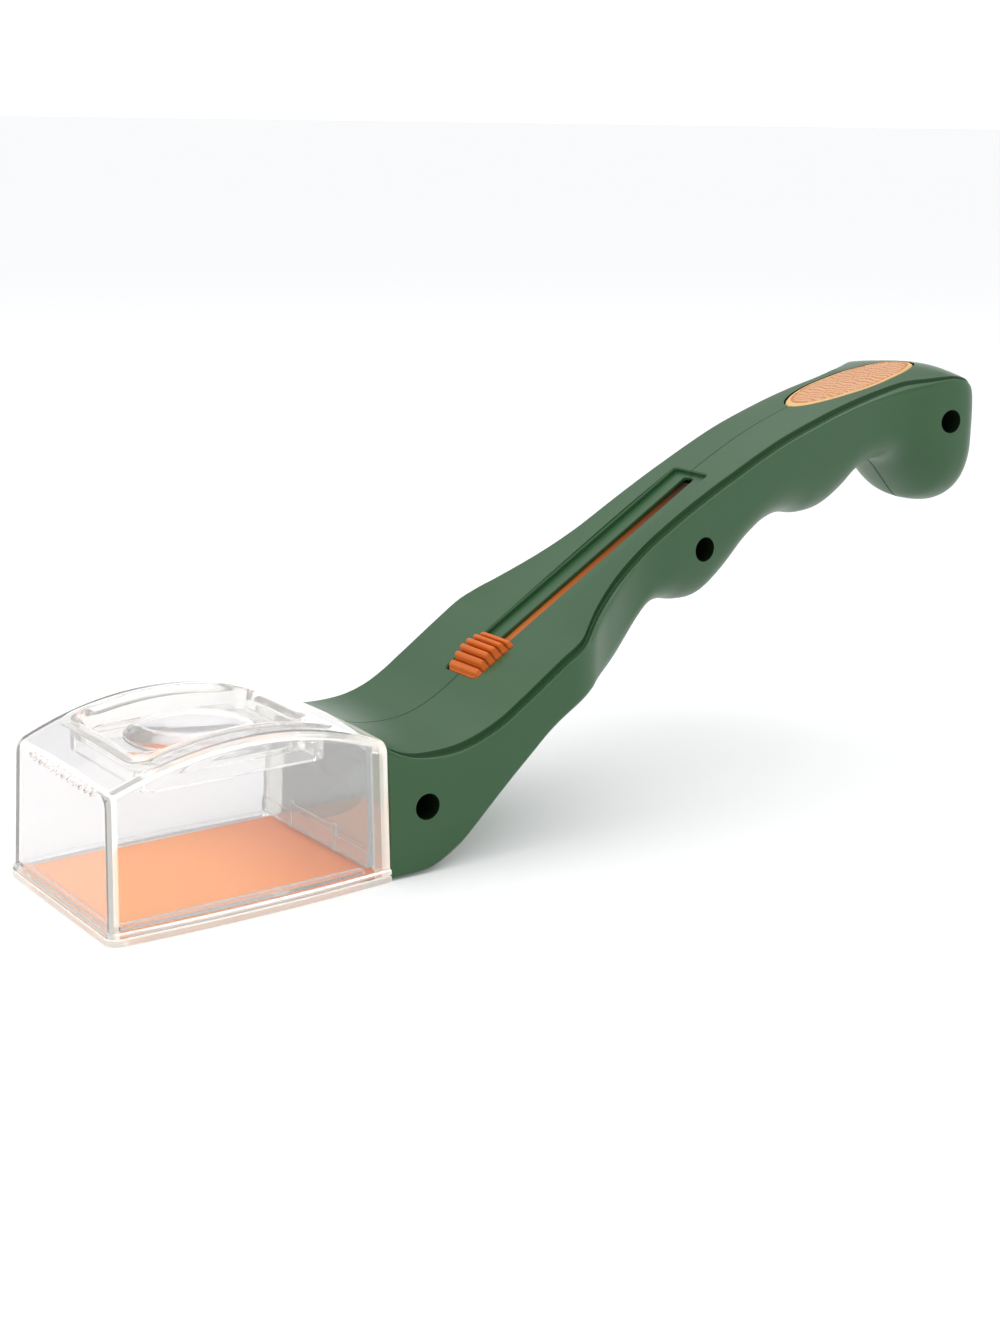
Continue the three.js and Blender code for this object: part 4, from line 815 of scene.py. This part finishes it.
# Lens frame: one closed section swept round the window. Each row is a growth outward, the share of
# the longer rear end, the corner radius and a height, first above the roof and then above the rim
def make_lens_frame():
    seat_top = LENS_TOP - LENS_PLATE - SEAM
    well, skirt = WINDOW_RADIUS, SKIRT_RADIUS
    over_roof = [
        (0.0, 0, well, -2.2), (0.35, 0, well, -1.3), (0.9, 0, well, -0.35), (1.5, 0, well, 0.3),
        (2.3, 0.3, well, RIM_RISE - 0.04), (3.0, 0.8, well, RIM_RISE), (3.9, 1, 6, RIM_RISE - 0.12),
        (4.5, 1, 6, 0.42), (4.55, 1, 6, 0.22), (FRAME_WALL, 1, skirt, 0.22),
    ]
    over_rim = [
        (FRAME_WALL, 1, skirt, FRAME_UNDER + 0.6), (FRAME_WALL - 0.18, 1, skirt, FRAME_UNDER + 0.18),
        (FRAME_WALL - 0.6, 1, skirt, FRAME_UNDER), (0.4, 1, skirt - 1, FRAME_UNDER),
        (0.0, 1, skirt - 1, FRAME_UNDER + 0.4), (0.0, 1, skirt - 1, seat_top - 1.2),
        (-0.9, 0, well - 0.9, seat_top - 1.2), (-0.9, 0, well - 0.9, seat_top),
        (0.0, 0, well, seat_top),
    ]
    rings = []
    for grow, rear, radius, rise in over_roof:
        outline = window_outline(grow, rear, radius)
        rings.append([(x, y, roof_height(x, y) + rise) for x, y in outline])
    for grow, rear, radius, z in over_rim:
        rings.append([(x, y, z) for x, y in window_outline(grow, rear, radius)])
    piece = loft("lens frame", rings, joined=True)
    finish_piece(piece, "clear_lens_frame", FRAME_CLEAR, "catcher", ["lens_frame"], 40)


def make_lens():
    under = LENS_TOP - LENS_PLATE
    whole, bevelled = window_outline(-FIT), window_outline(-FIT - LENS_BEVEL)
    plate = stack("plate", [(bevelled, under), (whole, under + LENS_BEVEL),
                            (whole, LENS_TOP - LENS_BEVEL), (bevelled, LENS_TOP)])
    middle = LENS_TOP - LENS_PLATE / 2
    rings = []
    for i in range(1, LENS_STEPS):
        turn = math.pi * i / LENS_STEPS - QUARTER_TURN
        radius = LENS_RADIUS * math.cos(turn)
        z = middle + (LENS_BULGE + LENS_PLATE / 2) * math.sin(turn)
        rings.append([(WINDOW_MIDDLE + radius * math.cos(t), radius * math.sin(t), z)
                      for t in full_turn(LENS_AROUND)])
    join(plate, loft("bulge", rings))
    finish_piece(plate, "clear_lens", LENS_CLEAR, "catcher", ["magnifier_lens"], 24)


# Handle shells. A face in a screw recess or in the cut round the pad gets painted deep shade, and a face in
# the dark part of the crease gets painted crease shade
def painted_shade_slot(face):
    place = face.center / MM
    x = place.x + CENTRE_X
    crease = value_at(CREASE_SHARE, x)
    out = abs(place.y) - value_at(BAND, x)
    down = value_at(TOP, x) - value_at(DROP, x) - place.z
    beside = CREASE_INSIDE < out < CREASE_OUTSIDE * crease
    if crease > CREASE_LEAST and beside and CREASE_START * crease < down < CREASE_END * crease:
        return 2
    if abs(face.normal.y) < WALL_FACING and abs(place.y) > SCREW_SEAT_Y:
        for screw_x, screw_z in SCREWS.values():
            if math.hypot(x - screw_x, place.z - screw_z) < RECESS_DIAMETER / 2 + RECESS_NEAR:
                return 1
    along = (x - PAD_MIDDLE) / (PAD_HALF_LENGTH + PAD_GAP)
    around = math.hypot(along, place.y / (PAD_HALF_WIDTH + PAD_GAP))
    by_pad = abs(around - 1) < OVAL_NEAR and place.z > PAD_LEAST_HEIGHT
    return 1 if by_pad and abs(face.normal.z) < WALL_FACING else 0


def make_shell(side):
    shell = handle_half()
    cavity = handle_half(SHELL_WALL, 0.0, HANDLE_FRONT - OVERRUN, LENGTH - END_WALL, CAVITY_PITCH,
                         CAVITY_BEHIND)
    cut(cavity, slot_stack([(0, -BED_DEPTH), (0, SLOT_ABOVE)], -SHELL_WALL, SLOT_LENGTH + SHELL_WALL,
                           SLOT_HALF_WIDTH + SHELL_WALL, SLOT_CORNER))
    diameter = RECESS_DIAMETER + RECESS_WALLS if side < 0 else RECESS_DIAMETER
    for x, z in SCREWS.values():
        cut(cavity, rod_across(diameter, x, z, -OVERRUN, FAR))
    cut(shell, cavity)
    recess = slot_stack([(0, -SLOT_DEPTH), *SLOT_MOUTH], 0, SLOT_LENGTH, SLOT_HALF_WIDTH, SLOT_CORNER)
    slit_levels = [(0, -SLIT_DEPTH)] + [(grow, n - SLOT_DEPTH) for grow, n in SLIT_BEVEL]
    slit = slot_stack(slit_levels, SLIT_MARGIN, SLOT_LENGTH - SLIT_MARGIN, SLIT_WIDTH / 2, SLIT_CORNER)
    pad_cut = stack("pad cut", [(pad_cut_outline(), z) for z in PAD_CUT])
    cut(pad_cut, handle_half(PAD_BED_DEPTH, 0.0, pitch=PAD_BED_PITCH))
    channel = block((CHANNEL_FRONT, -CHANNEL_ACROSS, CHANNEL_UNDER),
                    (SHEET_REAR + CHANNEL_PAST_SHEET, DOOR_HALF_WIDTH + FIT, RAIL_TOP))
    cut(shell, recess, slit, pad_cut, channel)
    for x, z in SCREWS.values():
        if side < 0:
            cut(shell, rod_across(RECESS_DIAMETER, x, z, SCREW_SEAT_Y, FAR))
        cut(shell, rod_across(SCREW_BORE, x, z, -OVERRUN, SCREW_SEAT_Y + 1 if side < 0 else SCREW_BORE_END))
    if side < 0:
        shell.data.transform(Matrix.Scale(-1, 4, (0, 1, 0)))
        shell.data.flip_normals()
    name = "left_shell" if side < 0 else "right_shell"
    finish_piece(shell, "green_" + name, GREEN, "catcher", [name])
    # Painted shade: darker greens for the recess walls and for the crease
    shell.data.materials.append(RECESS)
    shell.data.materials.append(CREASE_SHADE_GREEN)
    for face in shell.data.polygons:
        face.material_index = painted_shade_slot(face)


# Thumb slide: a rounded wedge with six round ribs across it, each a place along the slot and a height.
# From its middle a rib has a round crest and then a flank, as shares of the way to the groove
RIBS = [(2.1, 0.85), (4.55, 2.3), (6.94, 3.1), (9.44, 3.18), (12.0, 2.6), (14.2, 1.55)]
RIB_GROOVE = 1.5
RIB_FRONT_GAP = 1.7
RIB_REAR_GAP = 1.4
CREST_SHARE = 0.54
FLANK_SHARE = 0.26
CREST_DROP = 0.34
CREST_ROUND = 0.95
CREST_FOOT = 0.264
# Depth of groove past which a face of the slide gets painted shade
DEEP_GROOVE = 0.72
SLIDE_ENDS = (0.0, 0.12, 0.35)
SLIDE_MARGIN = 0.7
SLIDE_STEPS = 130
SLIDE_CORNER = 1.5
SLIDE_CORNER_FALL = 0.75
SLIDE_LEAST = 0.5
BASE_TOP = -0.2
WAIST_TOP = 0.25
WAIST_IN = 0.12
WAIST_GROOVE = 0.18
CREST_IN = 0.35
CREST_LEAN = 0.12
CREST_GROOVE = 0.25
CREST_STEPS = 6
CREST_MIDDLE_SHARE = 0.4
CREST_CROWN = 0.03
FILLET_MOST = 0.8
FILLET_LEAST = 0.15
FILLET_SHARE = 0.45
LEAST_STEP = 0.02
STEM_HALF_LENGTH = 4.0
STEM_HALF_WIDTH = 1.8
CLIP_HALF_LENGTH = 6.0
CLIP_HALF_WIDTH = 5.5
CLIP_RADIUS = 1.0
CLIP_ARC_STEPS = 4
CLIP_TOP = -3.6
CLIP_SECTION = [(0.2, -1.2), (0, -1.0), (0, -0.2), (0.2, 0.0)]


def slide_height(s):
    gaps = [RIB_FRONT_GAP] + [(b[0] - a[0]) / 2 for a, b in zip(RIBS, RIBS[1:])] + [RIB_REAR_GAP]
    k = min(range(len(RIBS)), key=lambda i: abs(RIBS[i][0] - s))
    gap = gaps[k] if s < RIBS[k][0] else gaps[k + 1]
    away = min(abs(s - RIBS[k][0]) / gap, 1)
    if away < CREST_SHARE:
        groove = CREST_DROP * (1 - math.sqrt(1 - CREST_ROUND * (away / CREST_SHARE) ** 2))
    else:
        flank = min((away - CREST_SHARE) / FLANK_SHARE, 1)
        groove = CREST_FOOT + (1 - CREST_FOOT) * flank * flank * (3 - 2 * flank)
    return value_at(RIBS, s) - RIB_GROOVE * groove, groove


def slide_ring(s, under):
    height, groove = slide_height(s)
    corner = corner_cut(SLIDE_CORNER, min(s - FIT, FIT + SLIDE_LENGTH - s))
    height = max(height - corner * SLIDE_CORNER_FALL, under + SLIDE_LEAST)
    base = SLIDE_HALF_WIDTH - corner
    waist = base - WAIST_IN - WAIST_GROOVE * groove
    crest = base - CREST_IN - CREST_LEAN * max(height, 0) - CREST_GROOVE * groove
    fillet = min(FILLET_MOST, max(height, 0) * FILLET_SHARE + FILLET_LEAST)
    turns = [QUARTER_TURN * i / CREST_STEPS for i in range(CREST_STEPS + 1)]
    arc = [(crest - fillet * (1 - math.cos(t)), height - fillet * (1 - math.sin(t))) for t in turns]
    waist_z = min(WAIST_TOP, (height - under) / 2 + under, arc[0][1] - LEAST_STEP)
    half = [(base, under), (base, min(BASE_TOP, waist_z - LEAST_STEP)), (waist, waist_z), *arc,
            (crest * CREST_MIDDLE_SHARE, height + CREST_CROWN)]
    return [(s, -y, z) for y, z in half] + [(s, y, z) for y, z in reversed(half)]


def make_thumb_slide():
    under = -SLOT_DEPTH + FIT
    front, rear = FIT, FIT + SLIDE_LENGTH
    places = {front + gap for gap in SLIDE_ENDS} | {rear - gap for gap in SLIDE_ENDS}
    ribbed = rear - front - 2 * SLIDE_MARGIN
    places |= {front + SLIDE_MARGIN + ribbed * i / SLIDE_STEPS for i in range(SLIDE_STEPS + 1)}
    slide = loft("thumb slide", [slide_ring(s, under) for s in sorted(places)])
    middle = FIT + SLIDE_LENGTH / 2
    join(slide, block((middle - STEM_HALF_LENGTH, -STEM_HALF_WIDTH, -BED_DEPTH),
                      (middle + STEM_HALF_LENGTH, STEM_HALF_WIDTH, under + FIT)))
    in_slot_frame(slide)
    finish_piece(slide, "orange_thumb_slide", ORANGE, "slide", ["thumb_slide"], 50)
    slide.data.materials.append(ORANGE_GROOVE_SHADE)
    # Faces deep in the grooves between the ribs get painted shade
    for face in slide.data.polygons:
        along = (face.center.x / MM + CENTRE_X - SLOT_FRONT[0]) * math.cos(SLOT_ANGLE)
        along += (face.center.z / MM - SLOT_FRONT[1]) * math.sin(SLOT_ANGLE)
        if RIBS[0][0] < along < RIBS[-1][0] and slide_height(along)[1] > DEEP_GROOVE:
            face.material_index = 1


def make_slide_clip():
    middle = FIT + SLIDE_LENGTH / 2
    levels = []
    for inset, z in CLIP_SECTION:
        outline = rounded_outline(middle - CLIP_HALF_LENGTH + inset, middle + CLIP_HALF_LENGTH - inset,
                                  CLIP_HALF_WIDTH - inset, CLIP_RADIUS, CLIP_ARC_STEPS)
        levels.append((outline, CLIP_TOP + z))
    clip = in_slot_frame(stack("clip", levels))
    finish_piece(clip, "orange_slide_clip", ORANGE, "slide", ["slide_clip"])


# Thumb pad: an oval inlay with a smooth border, a groove inside it and fine wavy ridges across it.
# Each row of the sway is a size and its waves along and across
PAD_COLUMNS = 30
PAD_ROWS = 480
PAD_END_SHARE = 0.9995
PAD_STANDS = 0.1
PAD_THICKNESS = 0.95
PAD_EDGE_ROLL = 0.5
PAD_GROOVE = 0.22
PAD_GROOVE_MIDDLE = 0.3
PAD_GROOVE_WIDTH = 0.25
RIDGE_FADE = 0.6
RIDGE_HEIGHT = 0.13
RIDGE_SINK = 0.1
RIDGE_SWAY = [(0.5, 0.31, 0.55), (0.3, -0.7, 1.3)]
RIDGE_SLANT = 0.24
# Width of the painted shade in the groove inside the border, and the wave below which a trough gets painted
# shade
LINE_WIDTH = 0.5
LINE_WAVE = -0.45


def surface_top(x, y):
    return value_at(TOP, x) - value_at(DROP, x) * (y / value_at(BAND, x)) ** 2


def pad_pattern(x, y):
    inside = 1 - math.hypot((x - PAD_MIDDLE) / PAD_HALF_LENGTH, y / PAD_HALF_WIDTH)
    sway = sum(size * math.sin(y * across + x * along) for size, along, across in RIDGE_SWAY)
    sway += RIDGE_SLANT * y
    return inside * PAD_HALF_WIDTH, math.cos(FULL_TURN * (x + sway) / RIDGE_PITCH)


def pad_level(x, y):
    edge_gap, wave = pad_pattern(x, y)
    level = surface_top(x, y) + PAD_STANDS
    level -= PAD_EDGE_ROLL * max(1 - edge_gap / PAD_EDGE_ROLL, 0) ** 2
    inside = edge_gap - PAD_BORDER
    if inside > 0:
        level -= PAD_GROOVE * math.exp(-((inside - PAD_GROOVE_MIDDLE) / PAD_GROOVE_WIDTH) ** 2)
        level += min(inside / RIDGE_FADE, 1) * (RIDGE_HEIGHT * wave - RIDGE_SINK)
    return level


def make_thumb_pad():
    columns, rows = PAD_COLUMNS, PAD_ROWS
    points, faces = [], []
    for r in range(rows + 1):
        share = -math.cos(math.pi * r / rows)
        x = PAD_MIDDLE + PAD_HALF_LENGTH * PAD_END_SHARE * share
        half = PAD_HALF_WIDTH * math.sqrt(max(1 - (x - PAD_MIDDLE) ** 2 / PAD_HALF_LENGTH**2, 0))
        for c in range(columns + 1):
            y = half * math.sin(QUARTER_TURN * (2 * c / columns - 1))
            points.append((x, y, pad_level(x, y)))
    across = columns + 1
    for r in range(rows):
        for c in range(columns):
            a = r * across + c
            faces.append((a, a + across, a + across + 1, a + 1))
    under = len(points)
    loop = [r * across for r in range(rows + 1)]
    loop += [rows * across + c for c in range(1, columns + 1)]
    loop += [r * across + columns for r in range(rows - 1, -1, -1)]
    loop += list(range(columns - 1, 0, -1))
    for k in loop:
        x, y, _ = points[k]
        points.append((x, y, surface_top(x, y) - PAD_THICKNESS))
    count, centre = len(loop), len(points)
    points.append((PAD_MIDDLE, 0, surface_top(PAD_MIDDLE, 0) - PAD_THICKNESS))
    for i in range(count):
        j = (i + 1) % count
        faces.append((loop[j], loop[i], under + i, under + j))
    for i in range(count):
        faces.append((under + (i + 1) % count, under + i, centre))
    pad = mesh_object("pad", points, faces)
    finish_piece(pad, "orange_thumb_pad", PAD, "catcher", ["thumb_pad"], 60)
    pad.data.materials.append(PAD_SHADE)
    pad.data.materials.append(PAD_RIM)
    # The groove inside the border and the troughs between the ridges get painted shade
    for face in pad.data.polygons:
        edge_gap, wave = pad_pattern(face.center.x / MM + CENTRE_X, face.center.y / MM)
        if edge_gap < PAD_BORDER:
            face.material_index = 2
        elif edge_gap < PAD_BORDER + LINE_WIDTH or wave < LINE_WAVE:
            face.material_index = 1


# Door: a thin sheet under the capsule and its front lip, each row a place along the lip and its top
LIP_SHAPE = [(0, 2.3), (0.3, 2.75), (0.8, 2.9), (2.2, 2.9), (2.7, 2.75), (LIP_LENGTH, 2.4)]
DOOR_STEPS = 40


def door_ring(x, top):
    half = DOOR_HALF_WIDTH
    return [(x, -half, DOOR_UNDER), (x, half, DOOR_UNDER), (x, half, top), (x, -half, top)]


def make_door():
    lip = loft("lip", [door_ring(LIP_FRONT + along, top) for along, top in LIP_SHAPE])
    finish_piece(lip, "orange_door_lip", SHEET, "door", ["door_lip"], 50)
    places = [SHEET_FRONT + DOOR_TRAVEL * i / DOOR_STEPS for i in range(DOOR_STEPS + 1)]
    sheet = loft("sheet", [door_ring(x, DOOR_TOP) for x in places])
    finish_piece(sheet, "orange_door_sheet", SHEET, "catcher", ["door_sheet"])
    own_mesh(sheet)


# Tail of the sheet: a bend from the capsule's floor up to a straight run under the slot
TAIL_UNDER = -3.0
TAIL_START = 1.9
TAIL_END_GAP = 2.5
TAIL_HALF_WIDTH = 9
NECK_HALF_WIDTH = 24
NECK_LENGTH = 14
BEND_START = HANDLE_FRONT + 6
BEND_EASE_START = 0.2
BEND_EASE_END = 0.36
BEND_STEPS = 30


def bezier(points, t):
    while len(points) > 1:
        points = [tuple(a + (b - a) * t for a, b in zip(p, q)) for p, q in zip(points, points[1:])]
    return points[0]


def make_sheet_strip():
    level = (DOOR_UNDER + DOOR_TOP) / 2
    half_thickness = (DOOR_TOP - DOOR_UNDER) / 2
    cos, sin = math.cos(SLOT_ANGLE), math.sin(SLOT_ANGLE)

    def on_slot(s, n):
        return SLOT_FRONT[0] + s * cos - n * sin, SLOT_FRONT[1] + s * sin + n * cos

    start, end = (BEND_START, level), on_slot(TAIL_START, TAIL_UNDER)
    ease_start = math.dist(start, end) * BEND_EASE_START
    ease_end = math.dist(start, end) * BEND_EASE_END
    control = [start, (start[0] + ease_start, level),
               (end[0] - cos * ease_end, end[1] - sin * ease_end), end]
    line = [(SHEET_REAR + FIT, level)] + [bezier(control, i / BEND_STEPS) for i in range(BEND_STEPS + 1)]
    line.append(on_slot(SLOT_LENGTH - TAIL_END_GAP, TAIL_UNDER))
    rings = []
    for i, (x, z) in enumerate(line):
        (x0, z0), (x1, z1) = line[max(i - 1, 0)], line[min(i + 1, len(line) - 1)]
        run = math.hypot(x1 - x0, z1 - z0)
        nx, nz = -(z1 - z0) / run * half_thickness, (x1 - x0) / run * half_thickness
        narrowed = min((x - HANDLE_FRONT) / NECK_LENGTH, 1)
        half = NECK_HALF_WIDTH + (TAIL_HALF_WIDTH - NECK_HALF_WIDTH) * narrowed
        upper, lower = (x + nx, z + nz), (x - nx, z - nz)
        corners = [(upper, -half), (lower, -half), (lower, half), (upper, half)]
        rings.append([(px, y, pz) for (px, pz), y in corners])
    strip = loft("strip", rings)
    finish_piece(strip, "orange_sheet_tail", TAIL, "catcher", ["sheet_strip"], 40)


make_capsule_cover()
make_base_frame()
make_back_plate()
make_lens_frame()
make_lens()
make_shell(-1)
make_shell(1)
make_thumb_slide()
make_slide_clip()
make_thumb_pad()
make_door()
make_sheet_strip()
for name in SCREWS:
    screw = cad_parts["screw_" + name]
    screw.data.materials.clear()
    screw.data.materials.append(STEEL)

# Wide pale floor
FLOOR_REACH = 30000.0
FLOOR_LEVEL = -0.2
floor_material = plastic("pale floor", (0.8, 0.8, 0.8), 0.8, unevenness=0.0, smudges=0.0,
                         grain_depth=0.0, Emission_Color=(1, 1, 1, 1), Emission_Strength=0.1)
corners = [(x * FLOOR_REACH, y * FLOOR_REACH, FLOOR_LEVEL) for x, y in ((-1, -1), (1, -1), (1, 1), (-1, 1))]
floor = mesh_object("floor", corners, [(0, 1, 2, 3)])
floor.data.materials.append(floor_material)

# Soft studio light: bright low down, dim in a band above that and brightest overhead, and a little
# stronger from the camera's side. Each row runs from two directions to the strengths there
AWAY_FROM_CAMERA = (0.588, 0.809, 0.0)
SKY_FACING = (-0.7, 0.6, 1.1, 1.0)
SKY_LOW = (0.12, 0.3, 1.7, 0.45)
SKY_OVERHEAD = (0.5, 0.8, 1.0, 3.0)
world = bpy.data.worlds.new("studio")
world.use_nodes = True
sky = world.node_tree
background = sky.nodes["Background"]
direction = new_node(sky, "ShaderNodeTexCoord").outputs["Generated"]
facing = new_node(sky, "ShaderNodeVectorMath", operation="DOT_PRODUCT")
facing.inputs[1].default_value = AWAY_FROM_CAMERA
sky.links.new(direction, facing.inputs[0])
split = new_node(sky, "ShaderNodeSeparateXYZ")
sky.links.new(direction, split.inputs[0])


def sky_range(source, limits):
    part = new_node(sky, "ShaderNodeMapRange", interpolation_type="SMOOTHSTEP")
    set_inputs(part, dict(zip(("From Min", "From Max", "To Min", "To Max"), limits)))
    sky.links.new(source, part.inputs["Value"])
    return part.outputs["Result"]


height = split.outputs["Z"]
low = maths(sky, "MULTIPLY", sky_range(facing.outputs["Value"], SKY_FACING), sky_range(height, SKY_LOW))
sky.links.new(maths(sky, "MULTIPLY", low, sky_range(height, SKY_OVERHEAD)), background.inputs["Strength"])
background.inputs["Color"].default_value = (0.98, 0.99, 1.0, 1)
bpy.context.scene.world = world

# Softboxes, each with its place, size and power
AIM = Vector((0.0, 0.0, 0.05))
SOFTBOXES = [
    ("back softbox", (0.15, 0.75, 0.9), (1.2, 0.7), 1),
    ("right softbox", (0.7, -0.35, 1.0), (0.6, 0.5), 3),
    ("left softbox", (-1.0, 0.1, 0.7), (0.8, 0.8), 3),
]
for name, place, size, power in SOFTBOXES:
    data = bpy.data.lights.new(name, "AREA")
    data.shape = "RECTANGLE"
    data.size, data.size_y = size
    data.energy = power
    light = bpy.data.objects.new(name, data)
    light.location = place
    light.rotation_euler = (AIM - Vector(place)).to_track_quat("-Z", "Y").to_euler()
    bpy.context.scene.collection.objects.link(light)

# Camera, as it was fitted to the photograph
SENSOR = 36.0
PHOTO_HEIGHT = 1333.0
FOCAL_PIXELS = 2062.26
CAMERA_PLACE = (-189.005, -440.337, 190.822)
camera_data = bpy.data.cameras.new("camera")
camera_data.sensor_width = SENSOR
camera_data.lens = FOCAL_PIXELS * SENSOR / PHOTO_HEIGHT
camera_data.clip_start, camera_data.clip_end = 0.01, 20.0
camera = bpy.data.objects.new("camera", camera_data)
right = Vector((0.81077408, -0.58520857, 0.01327875))
up = Vector((0.14419641, 0.22165908, 0.96440378))
look = Vector((0.56732071, 0.77999883, -0.26410041))
turned = Matrix((right, up, -look)).transposed().to_4x4()
x, y, z = CAMERA_PLACE
camera.matrix_world = Matrix.Translation(((x - CENTRE_X) * MM, y * MM, z * MM)) @ turned
bpy.context.scene.collection.objects.link(camera)
bpy.context.scene.camera = camera
bpy.context.scene.view_settings.view_transform = "Standard"
